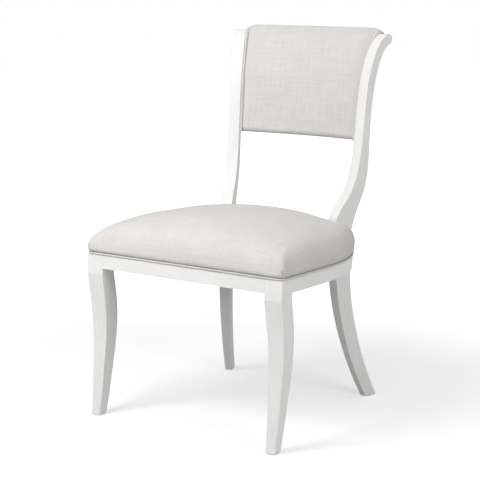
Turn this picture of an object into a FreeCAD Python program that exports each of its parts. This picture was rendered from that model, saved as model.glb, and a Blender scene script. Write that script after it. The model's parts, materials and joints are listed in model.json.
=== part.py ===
import FreeCAD, Part
import Sketcher
import math
import os
from types import SimpleNamespace

from FreeCAD import Placement, Rotation, Vector

# Klismos dining chair, in millimetres.
# X runs to the sitter's left, seen from the front as the right. Y runs from the front to the back. Z is up.
# The origin is on the floor, under the middle of the chair's outer box.

doc = FreeCAD.newDocument("klismos_chair")
sheet = doc.addObject("Spreadsheet::Sheet", "Sizes")

# Driving dimensions. Depths are measured back from the front rail's front face.
DIMENSIONS = {
    "front_face_y": -320.7,
    # Seat frame
    "rail_bottom": 377.0,
    "rail_height": 33.0,
    "rail_thickness": 24.0,
    "front_half_width": 275.5,
    "side_swell": 5.5,
    "widest_share": 0.45,
    "shoulder_narrowing": 39.0,
    "shoulder_run": 123.0,
    "frame_depth": 533.0,
    "rear_corner_radius": 60.0,
    "rear_corner_reach": 122.0,
    "block_height": 22.0,
    "block_reach": 105.0,
    # Front legs
    "front_leg_size": 46.0,
    "front_block_drop": 15.0,
    "front_knee_set_back": 21.8,
    "front_knee_depth": 42.6,
    "front_foot_set_back": 7.0,
    "front_foot_depth": 27.0,
    "front_foot_width": 24.0,
    # Rear legs and posts
    "post_turn": 20.5,
    "post_inset": 47.4,
    "post_run": 87.8,
    "post_width": 32.0,
    "post_rise": 533.5,
    "scroll_reach": 152.0,
    "scroll_radius": 13.0,
    "crease_overhang": 3.0,
    "rear_block_depth": 52.0,
    "rear_notch": 11.0,
    "rear_foot_reach": 124.5,
    "rear_foot_depth": 38.4,
    "rear_foot_width": 19.5,
    # Feet
    "glide_diameter": 15.0,
    "glide_thickness": 2.5,
    "glide_pin_diameter": 2.4,
    "glide_pin_length": 14.0,
    # Fasteners
    "dowel_diameter": 8.0,
    "dowel_length": 34.0,
    "dowel_spacing": 15.0,
    "back_dowel_diameter": 6.0,
    "back_dowel_length": 28.0,
    "back_dowel_spacing": 16.0,
    "screw_diameter": 4.5,
    "screw_head_diameter": 9.0,
    "screw_head_height": 3.0,
    "fixing_screw_length": 30.0,
    "block_screw_length": 50.0,
    "sketch_margin": 1.0,
    "fit_gap": 0.1,
    "hole_spare": 1.0,
    "soft_gap": 0.3,
    # Seat
    "lining_thickness": 0.8,
    "deck_thickness": 12.0,
    "deck_inset": 7.0,
    "cover_thickness": 1.2,
    "wadding_thickness": 5.0,
    "cushion_bulge": 3.0,
    "cushion_corner_radius": 12.0,
    "cushion_edge_height": 32.0,
    "side_bow": 27.0,
    "crown_rise": 45.0,
    "seat_tilt": 6.5,
    "crown_shoulder": 11.0,
    "post_clearance": 1.0,
    "welt_diameter": 5.0,
    # Back pad
    "pad_drop": 260.5,
    "pad_set_back": 4.0,
    "pad_rear_proud": 1.0,
    "pad_curve_radius": 700.0,
    "pad_roll_back": 5.0,
    "pad_roll_rise": 14.5,
    "pad_roll_radius": 14.0,
    "back_rail_thickness": 12.0,
    "back_panel_thickness": 5.0,
    "back_panel_lap": 12.0,
    "bottom_rail_height": 42.0,
    "top_rail_height": 70.0,
    "outside_back_drop": 13.5,
    "back_welt_diameter": 6.0,
}

for row, (name, value) in enumerate(DIMENSIONS.items(), start=1):
    sheet.set(f"A{row}", name)
    sheet.set(f"B{row}", str(value))
    sheet.setAlias(f"B{row}", name)
doc.recompute()

S = SimpleNamespace(**{name: float(sheet.get(name)) for name in DIMENSIONS})

UP = Vector(0, 0, 1)
RIGHT = Vector(1, 0, 0)
BACK = Vector(0, 1, 0)
RAIL_TOP = S.rail_bottom + S.rail_height
RAIL_MIDDLE = S.rail_bottom + S.rail_height / 2
WIDEST_X = S.front_half_width + S.side_swell
WIDEST_DEPTH = S.widest_share * S.frame_depth
SHOULDER_X = WIDEST_X - S.shoulder_narrowing
SHOULDER_DEPTH = S.frame_depth - S.shoulder_run
REAR_RAIL_END = SHOULDER_X - S.rear_corner_reach
POST_DEPTH = S.frame_depth - S.post_run
SCROLL_HEIGHT = RAIL_TOP + S.post_rise
PAD_BOTTOM = SCROLL_HEIGHT - S.pad_drop


def at_depth(depth):
    """Y of a depth behind the front rail's front face."""
    return S.front_face_y + depth


# Tools that the sub-parts share

def feature(name, shape):
    """A document object that holds a shape made here."""
    item = doc.addObject("Part::Feature", name)
    item.Shape = shape
    return item


def cut(name, base, *tools):
    """Base less each tool, as a chain of Part::Cut objects. The last one carries the name."""
    result = base
    for number, tool in enumerate(tools):
        step = doc.addObject("Part::Cut", f"{name}_cut_{number}")
        step.Base = result
        step.Tool = tool
        result = step
    result.Label = name
    return result


def mirrored(name, source):
    """The same piece on the chair's other side."""
    item = doc.addObject("Part::Mirroring", name)
    item.Source = source
    item.Normal = RIGHT
    item.Label = name
    return item


def group(name, items):
    """Separate solids that share one node."""
    item = doc.addObject("Part::Compound", name)
    item.Links = items
    item.Label = name
    return item


def rod(name, diameter, length, start, direction, gap="0", extra="0"):
    """A cylinder whose sizes follow the sheet. It starts at a point and runs along a direction."""
    item = doc.addObject("Part::Cylinder", name)
    item.setExpression("Radius", f"({diameter}) / 2 + {gap}")
    item.setExpression("Height", f"{length} + {extra}")
    item.Placement = Placement(start, Rotation(UP, direction))
    return item


def mirror_vector(vector):
    return Vector(-vector.x, vector.y, vector.z)


def both_sides(pairs):
    """Each (start, direction) pair and its mirror image."""
    return pairs + [(mirror_vector(start), mirror_vector(direction)) for start, direction in pairs]


def pins(name, size, places):
    """Plain pins, each from a start along a direction, and the holes that take them."""
    solids = []
    holes = []
    for number, (start, direction) in enumerate(places):
        tag = f"{name}_{number}"
        solids.append(rod(tag, f"Sizes.{size}_diameter", f"Sizes.{size}_length", start, direction))
        holes.append(rod(f"{tag}_hole", f"Sizes.{size}_diameter", f"Sizes.{size}_length",
                         start - direction * S.hole_spare, direction, "Sizes.fit_gap", "2 * Sizes.hole_spare"))
    return group(name, solids), group(f"{name}_holes", holes)


def dowels(name, joints):
    """Two dowels at each joint, one above the other, and their holes."""
    places = []
    for middle, direction in joints:
        for level in (-1, 1):
            centre = middle + UP * (level * S.dowel_spacing / 2)
            places.append((centre - direction * (S.dowel_length / 2), direction))
    return pins(name, "dowel", places)


def screws(name, length, seats):
    """Screws with a flat head, each with its head against a seat, and the holes that take their shanks."""
    fasteners = []
    holes = []
    for number, (seat, direction) in enumerate(seats):
        tag = f"{name}_{number}"
        head_start = seat - direction * S.screw_head_height
        head = rod(f"{tag}_head", "Sizes.screw_head_diameter", "Sizes.screw_head_height", head_start, direction)
        shank = rod(f"{tag}_shank", "Sizes.screw_diameter", f"Sizes.{length}", seat, direction)
        screw = doc.addObject("Part::Fuse", tag)
        screw.Base = head
        screw.Tool = shank
        fasteners.append(screw)
        holes.append(rod(f"{tag}_hole", "Sizes.screw_diameter", f"Sizes.{length}",
                         seat - direction * S.hole_spare, direction, "Sizes.fit_gap", "2 * Sizes.hole_spare"))
    return group(name, fasteners), group(f"{name}_holes", holes)


def spline(points):
    curve = Part.BSplineCurve()
    curve.interpolate(points)
    return curve.toShape()


# The seat frame's outline

def arc_from_widest(inward, run):
    """Radius and turn of an arc that leaves the widest point straight along Y and ends inward of it."""
    radius = (inward ** 2 + run ** 2) / (2 * inward)
    return radius, math.asin(run / radius)


SIDE_RADIUS, SHOULDER_TURN = arc_from_widest(S.shoulder_narrowing, SHOULDER_DEPTH - WIDEST_DEPTH)
SHOULDER = Vector(SHOULDER_X, at_depth(SHOULDER_DEPTH), 0)
SHOULDER_ALONG = Vector(-math.sin(SHOULDER_TURN), math.cos(SHOULDER_TURN), 0)
SHOULDER_OUT = Vector(math.cos(SHOULDER_TURN), math.sin(SHOULDER_TURN), 0)

# The posts stand inside the rail's outer face, which draws in behind the shoulder
POST_X = SHOULDER_X - (S.shoulder_run - S.post_run) * math.tan(SHOULDER_TURN) - S.post_inset


def around(centre, radius, turn):
    """A point on a level circle, turned from the right towards the back."""
    return centre + Vector(math.cos(turn), math.sin(turn), 0) * radius


def half_outline(leg_depth):
    """Edges of the outer face on one side, from the front's middle to the back's middle.

    The side is straight over the leg's depth and swells from there to its widest point.
    """
    back_y = at_depth(S.frame_depth)
    front_corner = Vector(S.front_half_width, at_depth(0), 0)
    leg_back = Vector(S.front_half_width, at_depth(leg_depth), 0)
    widest = Vector(WIDEST_X, at_depth(WIDEST_DEPTH), 0)
    swell_radius, swell_turn = arc_from_widest(widest.x - leg_back.x, widest.y - leg_back.y)
    swell_middle = around(widest - RIGHT * swell_radius, swell_radius, -swell_turn / 2)
    side_middle = around(widest - RIGHT * SIDE_RADIUS, SIDE_RADIUS, SHOULDER_TURN / 2)
    straight = (back_y - SHOULDER.y) / SHOULDER_ALONG.y
    corner = SHOULDER + SHOULDER_ALONG * straight
    corner_turn = math.pi / 2 - SHOULDER_TURN
    tangent = S.rear_corner_radius * math.tan(corner_turn / 2)
    corner_start = corner - SHOULDER_ALONG * tangent
    corner_end = corner - RIGHT * tangent
    corner_centre = corner_end - BACK * S.rear_corner_radius
    middle_turn = SHOULDER_TURN + corner_turn / 2
    corner_middle = around(corner_centre, S.rear_corner_radius, middle_turn)
    edges = [Part.makeLine(Vector(0, front_corner.y, 0), front_corner)]
    if leg_depth:
        edges.append(Part.makeLine(front_corner, leg_back))
    return edges + [
        Part.Arc(leg_back, swell_middle, widest).toShape(),
        Part.Arc(widest, side_middle, SHOULDER).toShape(),
        Part.makeLine(SHOULDER, corner_start),
        Part.Arc(corner_start, corner_middle, corner_end).toShape(),
        Part.makeLine(corner_end, Vector(0, back_y, 0)),
    ]


def outline(leg_depth, outward, rounding):
    """The closed outline, its corners rounded, moved outward, or inward where that is negative."""
    right = half_outline(leg_depth)
    left = [edge.mirror(Vector(0, 0, 0), RIGHT) for edge in right]
    wire = Part.Wire(Part.__sortEdges__(right + left))
    inward = max(rounding, -outward)
    if inward > 0:
        wire = wire.makeOffset2D(-inward, 2)
    if outward + inward > 0:
        wire = wire.makeOffset2D(outward + inward, 0)
    return wire


def prism(wire, bottom, height):
    face = Part.Face(wire)
    face.translate(UP * bottom)
    return face.extrude(UP * height)


def frame_prism(outward, bottom, height):
    return prism(outline(S.front_leg_size, outward, 0), bottom, height)


def region(low_x, high_x, low_y, high_y, bottom, height):
    return Part.makeBox(high_x - low_x, high_y - low_y, height, Vector(low_x, low_y, bottom))


# Front legs: squares lofted down the sabre curve

LEG_TOP_BLOCK = S.rail_bottom - S.front_block_drop
FRONT_LEG_X = S.front_half_width - S.front_leg_size / 2


def origin_plane(body, role):
    return next(item for item in body.Origin.OriginFeatures if item.Role == role)


def square_section(body, name, height, set_back, depth, width):
    """A sketched rectangle, level, centred on the leg's side-to-side middle. Sizes are expressions."""
    sketch = body.newObject("Sketcher::SketchObject", name)
    sketch.AttachmentSupport = (origin_plane(body, "XY_Plane"), [""])
    sketch.MapMode = "FlatFace"
    sketch.setExpression("AttachmentOffset.Base.z", height)
    half = S.front_foot_width / 2
    near = S.sketch_margin
    far = S.front_foot_depth
    corners = [Vector(-half, near, 0), Vector(half, near, 0), Vector(half, far, 0), Vector(-half, far, 0)]
    for number in range(4):
        sketch.addGeometry(Part.LineSegment(corners[number], corners[(number + 1) % 4]), False)
    Constraint = Sketcher.Constraint
    for number in range(4):
        sketch.addConstraint(Constraint("Coincident", number, 2, (number + 1) % 4, 1))
    for number, kind in enumerate(("Horizontal", "Vertical", "Horizontal", "Vertical")):
        sketch.addConstraint(Constraint(kind, number))
    left = sketch.addConstraint(Constraint("DistanceX", 0, 1, -1, 1, half))
    right = sketch.addConstraint(Constraint("DistanceX", -1, 1, 0, 2, half))
    front = sketch.addConstraint(Constraint("DistanceY", -1, 1, 0, 1, near))
    back = sketch.addConstraint(Constraint("DistanceY", -1, 1, 2, 2, far))
    sketch.setExpression(f"Constraints[{left}]", f"({width}) / 2")
    sketch.setExpression(f"Constraints[{right}]", f"({width}) / 2")
    sketch.setExpression(f"Constraints[{front}]", f"{set_back} + Sizes.sketch_margin")
    sketch.setExpression(f"Constraints[{back}]", f"{set_back} + ({depth}) + Sizes.sketch_margin")
    return sketch


# Each stretch of the sabre curve, as shares: its place between floor and block, how much of the knee's set-back
# it has reached, how far its depth goes from the foot's to the knee's, and its width from the foot's to the block's.
FRONT_LEG_SHAPE = (
    ("knee_top", 0.86, 0.46, 1.30, 0.95),
    ("above_knee", 0.705, 0.87, 1.22, 0.82),
    ("knee", 0.55, 1.0, 1.0, 0.65),
    ("shin", 0.30, 0.70, 0.56, 0.36),
)


def front_leg():
    body = doc.addObject("PartDesign::Body", "front_leg")
    block_bottom = "Sizes.rail_bottom - Sizes.front_block_drop"
    foot = "Sizes.glide_thickness"
    top = square_section(body, "block_top", "Sizes.rail_bottom + Sizes.rail_height", "0",
                         "Sizes.front_leg_size", "Sizes.front_leg_size")
    block = body.newObject("PartDesign::Pad", "block")
    block.Profile = top
    block.setExpression("Length", "Sizes.rail_height + Sizes.front_block_drop")
    block.Reversed = True
    sections = [square_section(body, "block_base", block_bottom, "0", "Sizes.front_leg_size",
                               "Sizes.front_leg_size")]
    free = f"({block_bottom} - {foot})"
    for name, rise, set_back, depth, width in FRONT_LEG_SHAPE:
        reach = (f"Sizes.front_foot_set_back + {set_back}"
                 " * (Sizes.front_knee_set_back - Sizes.front_foot_set_back)")
        if name in ("knee_top", "above_knee"):
            reach = f"{set_back} * Sizes.front_knee_set_back"
        thick = f"Sizes.front_foot_depth + {depth} * (Sizes.front_knee_depth - Sizes.front_foot_depth)"
        wide = f"Sizes.front_foot_width + {width} * (Sizes.front_leg_size - Sizes.front_foot_width)"
        sections.append(square_section(body, name, f"{foot} + {rise} * {free}", reach, thick, wide))
    sections.append(square_section(body, "foot", foot, "Sizes.front_foot_set_back", "Sizes.front_foot_depth",
                                   "Sizes.front_foot_width"))
    sabre = body.newObject("PartDesign::AdditiveLoft", "sabre")
    sabre.Profile = sections[0]
    sabre.Sections = sections[1:]
    sabre.Ruled = False
    body.Tip = sabre
    body.Placement = Placement(Vector(FRONT_LEG_X, at_depth(0) - S.sketch_margin, 0), Rotation())
    return body


# Rear legs: one plank for leg and post, drawn in its own upright plane

PLANK = Placement(Vector(POST_X, at_depth(POST_DEPTH), 0), Rotation(UP, 90 - S.post_turn))
PLANK_BACK = PLANK.Rotation.multVec(RIGHT)
PLANK_IN = PLANK.Rotation.multVec(BACK)

# The plank's front and rear edges: how far up, and how far back from the block's front face.
# Above the seat the height is a share of the post's rise, and under it a share of the rail's height.
POST_FRONT = ((0.199, 13.8), (0.255, 38.0), (0.311, 54.0), (0.397, 66.9), (0.525, 76.0), (0.712, 83.2),
              (0.825, 91.7), (0.911, 105.1), (0.967, 119.0))
POST_REAR = ((0.967, 148.6), (0.911, 129.3), (0.853, 118.5), (0.769, 109.4), (0.656, 103.6), (0.525, 100.9),
             (0.393, 99.7), (0.306, 93.2), (0.249, 83.2), (0.193, 69.2), (0.135, 57.4))
LEG_SHARE = (0.835, 0.663, 0.411, 0.199)
LEG_FRONT = (6.9, 19.2, 48.7, 83.2)
LEG_REAR = (54.0, 64.6, 91.4, 123.7)
SCROLL_ANGLES = (140, 45, -50)
CREASE_SHARE = 0.152
BLOCK_REAR_SHARE = 0.079


def plank_point(reach, height):
    return Vector(reach, 0, height)


def post_point(share, reach):
    return plank_point(reach, RAIL_TOP + share * S.post_rise)


def leg_point(share, reach):
    """A point on the leg. Its reach follows the foot's."""
    return plank_point(reach, S.glide_thickness + share * (S.rail_bottom - S.glide_thickness))


def scroll_point(angle, reach, height, radius):
    turn = math.radians(angle)
    return plank_point(reach + radius * math.cos(turn), height + radius * math.sin(turn))


def rear_plank_profile():
    """The closed side outline of leg and post."""
    foot_front = leg_point(0, S.rear_foot_reach)
    foot_rear = leg_point(0, S.rear_foot_reach + S.rear_foot_depth)
    crease = post_point(CREASE_SHARE, -S.crease_overhang)
    scroll = (S.scroll_reach, SCROLL_HEIGHT, S.scroll_radius)
    scroll_start, scroll_middle, scroll_end = (scroll_point(angle, *scroll) for angle in SCROLL_ANGLES)
    leg_top_front = plank_point(0, S.rail_bottom)
    leg_top_rear = plank_point(S.rear_block_depth, S.rail_bottom)
    block_rear = post_point(BLOCK_REAR_SHARE, S.rear_block_depth - S.crease_overhang)
    leg_front = [leg_point(share, reach) for share, reach in zip(LEG_SHARE, LEG_FRONT)]
    leg_rear = [leg_point(share, reach) for share, reach in zip(LEG_SHARE, LEG_REAR)]
    notch_top = RAIL_TOP + S.lining_thickness + S.deck_thickness
    notch_face = S.rear_block_depth - S.rear_notch
    return Part.Wire([
        spline([leg_top_front] + leg_front + [foot_front]),
        Part.makeLine(foot_front, foot_rear),
        spline([foot_rear] + leg_rear[::-1] + [leg_top_rear]),
        Part.makeLine(leg_top_rear, plank_point(notch_face, S.rail_bottom)),
        Part.makeLine(plank_point(notch_face, S.rail_bottom), plank_point(notch_face, notch_top)),
        Part.makeLine(plank_point(notch_face, notch_top), plank_point(block_rear.x, notch_top)),
        Part.makeLine(plank_point(block_rear.x, notch_top), block_rear),
        spline([block_rear] + [post_point(*pair) for pair in POST_REAR[::-1]] + [scroll_end]),
        Part.Arc(scroll_end, scroll_middle, scroll_start).toShape(),
        spline([scroll_start] + [post_point(*pair) for pair in POST_FRONT[::-1]] + [crease]),
        Part.makeLine(crease, leg_top_front),
    ])


def rear_plank():
    """The plank, its width tapered from the rail to the foot on its inner side, and its edges eased."""
    blank = Part.Face(rear_plank_profile()).extrude(BACK * S.post_width)
    reach = S.rear_foot_reach + S.rear_foot_depth + S.post_width
    taper = Part.Face(Part.makePolygon([
        Vector(-reach, S.post_width, S.rail_bottom),
        Vector(-reach, S.rear_foot_width, 0),
        Vector(-reach, 2 * S.post_width, 0),
        Vector(-reach, 2 * S.post_width, S.rail_bottom),
        Vector(-reach, S.post_width, S.rail_bottom),
    ])).extrude(RIGHT * (2 * reach))
    shape = blank.cut(taper)
    shape.Placement = PLANK
    return shape


# Frame pieces

inner_prism = frame_prism(-S.rail_thickness, S.rail_bottom, S.rail_height)
frame_ring = frame_prism(0, S.rail_bottom, S.rail_height).cut(inner_prism)
rear_plank_shape = rear_plank()
front_leg_blank = front_leg()
rear_leg_blank = feature("rear_leg_blank", rear_plank_shape)

LEG_INNER_X = S.front_half_width - S.front_leg_size
LEG_BACK_Y = at_depth(S.front_leg_size)
SHOULDER_INNER = SHOULDER - SHOULDER_OUT * S.rail_thickness
REAR_INNER_Y = at_depth(S.frame_depth - S.rail_thickness)


def side_region():
    """Plan region of a side rail: behind the front leg, up to the joint square across the shoulder."""
    far = S.frame_depth
    corner_a = Vector(LEG_INNER_X / 2, LEG_BACK_Y, S.rail_bottom)
    corner_b = Vector(WIDEST_X + far, LEG_BACK_Y, S.rail_bottom)
    joint_out = SHOULDER + SHOULDER_OUT * far + UP * S.rail_bottom
    joint_in = SHOULDER - SHOULDER_OUT * (SHOULDER_X / 2) + UP * S.rail_bottom
    return Part.Face(Part.makePolygon([corner_a, corner_b, joint_out, joint_in, corner_a])).extrude(UP * S.rail_height)


def corner_region():
    """Plan region of a rear corner piece: from the shoulder joint round to the rear rail's end."""
    far = S.frame_depth
    joint_out = SHOULDER + SHOULDER_OUT * far + UP * S.rail_bottom
    joint_in = SHOULDER - SHOULDER_OUT * (SHOULDER_X / 2) + UP * S.rail_bottom
    inner = Vector(REAR_RAIL_END, SHOULDER.y, S.rail_bottom)
    rear = Vector(REAR_RAIL_END, at_depth(2 * far), S.rail_bottom)
    outer = Vector(joint_out.x, at_depth(2 * far), S.rail_bottom)
    points = [joint_in, joint_out, outer, rear, inner, joint_in]
    return Part.Face(Part.makePolygon(points)).extrude(UP * S.rail_height)


side_rail_blank = feature("side_rail_blank", frame_ring.common(side_region()))
corner_rail_blank = feature("corner_rail_blank", frame_ring.common(corner_region()).cut(rear_plank_shape))

front_rail_blank = doc.addObject("Part::Box", "front_rail_blank")
front_rail_blank.setExpression("Length", "2 * (Sizes.front_half_width - Sizes.front_leg_size)")
front_rail_blank.setExpression("Width", "Sizes.rail_thickness")
front_rail_blank.setExpression("Height", "Sizes.rail_height")
front_rail_blank.setExpression("Placement.Base.x", "-(Sizes.front_half_width - Sizes.front_leg_size)")
front_rail_blank.setExpression("Placement.Base.y", "Sizes.front_face_y")
front_rail_blank.setExpression("Placement.Base.z", "Sizes.rail_bottom")

rear_rail_end = "Sizes.front_half_width + Sizes.side_swell - Sizes.shoulder_narrowing - Sizes.rear_corner_reach"
rear_rail_blank = doc.addObject("Part::Box", "rear_rail_blank")
rear_rail_blank.setExpression("Length", f"2 * ({rear_rail_end})")
rear_rail_blank.setExpression("Width", "Sizes.rail_thickness")
rear_rail_blank.setExpression("Height", "Sizes.rail_height")
rear_rail_blank.setExpression("Placement.Base.x", f"-({rear_rail_end})")
rear_rail_blank.setExpression("Placement.Base.y", "Sizes.front_face_y + Sizes.frame_depth - Sizes.rail_thickness")
rear_rail_blank.setExpression("Placement.Base.z", "Sizes.rail_bottom")

# Corner blocks: plates that fill the frame's inner corners, cut round the legs
BLOCK_BOTTOM = RAIL_TOP - S.block_height
REAR_BLOCK_Y = at_depth(POST_DEPTH - S.rail_thickness)


def front_block_shape():
    """A triangle in the inner front corner, less the leg."""
    corner = Vector(S.front_half_width, at_depth(S.rail_thickness), BLOCK_BOTTOM)
    inward = corner - RIGHT * (S.block_reach + S.rail_thickness)
    backward = corner + BACK * S.block_reach
    triangle = Part.Face(Part.makePolygon([corner, inward, backward, corner])).extrude(UP * S.block_height)
    leg = region(LEG_INNER_X, S.front_half_width, at_depth(0), LEG_BACK_Y, BLOCK_BOTTOM, S.block_height)
    return inner_prism.common(triangle).cut(leg)


def rear_block_shape():
    """A plate in the inner rear corner that holds the rear leg on three sides."""
    low_x = REAR_RAIL_END - S.rail_thickness / 2
    plate = region(low_x, WIDEST_X, REAR_BLOCK_Y, REAR_INNER_Y, BLOCK_BOTTOM, S.block_height)
    return inner_prism.common(plate).cut(rear_plank_shape)


front_block_blank = feature("front_block_blank", front_block_shape())
rear_block_blank = feature("rear_block_blank", rear_block_shape())

# Dowels and their holes
rail_centre = S.rail_thickness / 2
front_rail_dowels, front_rail_holes = dowels("front_rail_dowels", both_sides([
    (Vector(LEG_INNER_X, at_depth(rail_centre), RAIL_MIDDLE), RIGHT)]))
side_rail_dowels, side_rail_holes = dowels("side_rail_dowels", both_sides([
    (Vector(S.front_half_width - rail_centre, LEG_BACK_Y, RAIL_MIDDLE), BACK)]))
corner_rail_dowels, corner_rail_holes = dowels("corner_rail_dowels", both_sides([
    (SHOULDER - SHOULDER_OUT * rail_centre + UP * RAIL_MIDDLE, SHOULDER_ALONG),
    (Vector(REAR_RAIL_END, REAR_INNER_Y + rail_centre, RAIL_MIDDLE), RIGHT)]))

# The rear leg's dowels run back through its notch into the corner rail
notch_middle = PLANK.multVec(Vector(S.rear_block_depth - S.rear_notch, S.post_width / 2, RAIL_MIDDLE))
rear_leg_dowels, rear_leg_holes = dowels("rear_leg_dowels", both_sides([
    (notch_middle - PLANK_BACK * (S.dowel_length / 2 - S.rear_notch), PLANK_BACK)]))

# Screws that hold the seat: up through the corner blocks into the deck
front_fix = Vector(LEG_INNER_X - S.screw_head_diameter, LEG_BACK_Y + S.screw_head_diameter, BLOCK_BOTTOM)
rear_fix = Vector(POST_X - S.post_width - 2 * S.screw_head_diameter, at_depth(POST_DEPTH), BLOCK_BOTTOM)
seat_fixing_screws, seat_fixing_holes = screws("seat_fixing_screws", "fixing_screw_length",
                                               both_sides([(front_fix, UP), (rear_fix, UP)]))

# Screws that run level through the corner blocks into the legs
BLOCK_MIDDLE = BLOCK_BOTTOM + S.block_height / 2
block_slant = Vector(S.block_reach + S.rail_thickness, S.block_reach, 0).normalize()
front_brace = Vector(S.front_half_width - (S.block_reach + S.rail_thickness) / 2,
                     at_depth(S.rail_thickness + S.block_reach / 2), BLOCK_MIDDLE)
front_brace_along = Vector(block_slant.y, -block_slant.x, 0)
REAR_SCREW_SHARE = 0.55
rear_brace = Vector(POST_X - S.post_width * REAR_SCREW_SHARE, REAR_BLOCK_Y, BLOCK_MIDDLE)
corner_block_screws, block_screw_holes = screws("corner_block_screws", "block_screw_length", both_sides([
    (front_brace, front_brace_along), (rear_brace, BACK)]))

# Glides: a disc under each foot with a pin up into it
FRONT_FOOT = Vector(FRONT_LEG_X, at_depth(S.front_foot_set_back + S.front_foot_depth / 2), 0)
REAR_FOOT = PLANK.multVec(Vector(S.rear_foot_reach + S.rear_foot_depth / 2, S.rear_foot_width / 2, 0))


def glide(name, place):
    disc = rod(f"{name}_disc", "Sizes.glide_diameter", "Sizes.glide_thickness", place, UP)
    pin = rod(f"{name}_pin", "Sizes.glide_pin_diameter", "Sizes.glide_pin_length", place, UP)
    item = doc.addObject("Part::Fuse", name)
    item.Base = disc
    item.Tool = pin
    return item


def glide_hole(name, place):
    return rod(name, "Sizes.glide_pin_diameter", "Sizes.glide_pin_length", place, UP,
               "Sizes.fit_gap", "Sizes.hole_spare")


glide_front_right = glide("glide_front_right", FRONT_FOOT)
glide_front_left = glide("glide_front_left", mirror_vector(FRONT_FOOT))
glide_rear_right = glide("glide_rear_right", REAR_FOOT)
glide_rear_left = glide("glide_rear_left", mirror_vector(REAR_FOOT))

# The same piece is cut once and mirrored to the other side
front_leg_right = cut("front_leg_right", front_leg_blank, front_rail_holes, side_rail_holes, block_screw_holes,
                      glide_hole("front_glide_hole", FRONT_FOOT))
front_leg_left = mirrored("front_leg_left", front_leg_right)
front_rail = cut("front_rail", front_rail_blank, front_rail_holes)
side_rail_right = cut("side_rail_right", side_rail_blank, side_rail_holes, corner_rail_holes)
side_rail_left = mirrored("side_rail_left", side_rail_right)
rear_corner_rail_right = cut("rear_corner_rail_right", corner_rail_blank, corner_rail_holes, rear_leg_holes)
rear_corner_rail_left = mirrored("rear_corner_rail_left", rear_corner_rail_right)
rear_rail = cut("rear_rail", rear_rail_blank, corner_rail_holes)
corner_block_front_right = cut("corner_block_front_right", front_block_blank, seat_fixing_holes, block_screw_holes)
corner_block_front_left = mirrored("corner_block_front_left", corner_block_front_right)
corner_block_rear_right = cut("corner_block_rear_right", rear_block_blank, seat_fixing_holes, block_screw_holes,
                              rear_leg_holes)
corner_block_rear_left = mirrored("corner_block_rear_left", corner_block_rear_right)

# Seat: lining, deck, foam, wadding, cover and welt

LINING_TOP = RAIL_TOP + S.lining_thickness
DECK_TOP = LINING_TOP + S.deck_thickness
CROWN_EDGE = RAIL_TOP + S.cushion_edge_height
CROWN_TOP = S.side_bow + S.crown_rise + S.seat_tilt
ACROSS_POWER = 2.1
ALONG_POWER = 3.0
CROWN_STEPS = 12


def crown_height(x, y):
    """The seat's top before its edges are rounded: highest in the middle, bowed up along both sides, and
    lower at the back than at the front."""
    across = abs(x) / (WIDEST_X + S.cushion_bulge)
    along = (y - at_depth(S.frame_depth / 2)) / (S.frame_depth / 2 + S.cushion_bulge)
    dome = S.side_bow + S.crown_rise * (1 - across ** ACROSS_POWER)
    return CROWN_EDGE + dome * (1 - abs(along) ** ALONG_POWER) - S.seat_tilt * along


def under_crown(drop):
    """Everything below the crown, lowered by a distance."""
    beyond = S.cushion_bulge + S.crown_shoulder
    half_x = WIDEST_X + beyond
    half_y = S.frame_depth / 2 + beyond
    middle_y = at_depth(S.frame_depth / 2)
    grid = []
    for i in range(CROWN_STEPS + 1):
        x = half_x * (2 * i / CROWN_STEPS - 1)
        line = []
        for j in range(CROWN_STEPS + 1):
            y = middle_y + half_y * (2 * j / CROWN_STEPS - 1)
            line.append(Vector(x, y, crown_height(x, y) - drop))
        grid.append(line)
    surface = Part.BSplineSurface()
    surface.interpolate(grid)
    return surface.toShape().extrude(UP * -(S.cushion_edge_height + CROWN_TOP))


def post_notch(rear_reach, outer_room):
    """The room for a post through a seat layer, on both sides. Outer room is how far it runs past the post."""
    gap = S.post_clearance
    low = -S.crease_overhang - gap
    bottom = RAIL_TOP - S.lining_thickness
    tall = S.cushion_edge_height + CROWN_TOP + S.deck_thickness
    notch = Part.makeBox(rear_reach + gap - low, S.post_width + gap + outer_room, tall,
                         Vector(low, -outer_room, bottom))
    notch.Placement = PLANK.multiply(notch.Placement)
    return notch.fuse(notch.mirror(Vector(0, 0, 0), RIGHT))


DECK_NOTCH = post_notch(S.rear_block_depth - S.rear_notch, S.post_inset + S.deck_inset)
CUSHION_NOTCH = post_notch(S.rear_block_depth + S.crease_overhang, S.post_clearance)


def cushion_outline(outward):
    return outline(0, outward, S.cushion_corner_radius)


def cushion(inward, bottom):
    """The crowned cushion drawn in by a distance all over, with a rounded shoulder."""
    tall = S.cushion_edge_height + CROWN_TOP + S.deck_thickness
    solid = prism(cushion_outline(S.cushion_bulge - inward), bottom, tall).common(under_crown(inward))
    top = next(face for face in solid.Faces if isinstance(face.Surface, Part.BSplineSurface))
    return solid.makeFillet(S.crown_shoulder - inward, top.Edges)


seat_dust_cover = cut("seat_dust_cover", feature("lining_blank", frame_prism(
    -S.deck_inset, RAIL_TOP, S.lining_thickness).cut(DECK_NOTCH)), seat_fixing_holes)
seat_deck = cut("seat_deck", feature("deck_blank", frame_prism(
    -S.deck_inset, LINING_TOP, S.deck_thickness).cut(DECK_NOTCH)), seat_fixing_holes)

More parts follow.
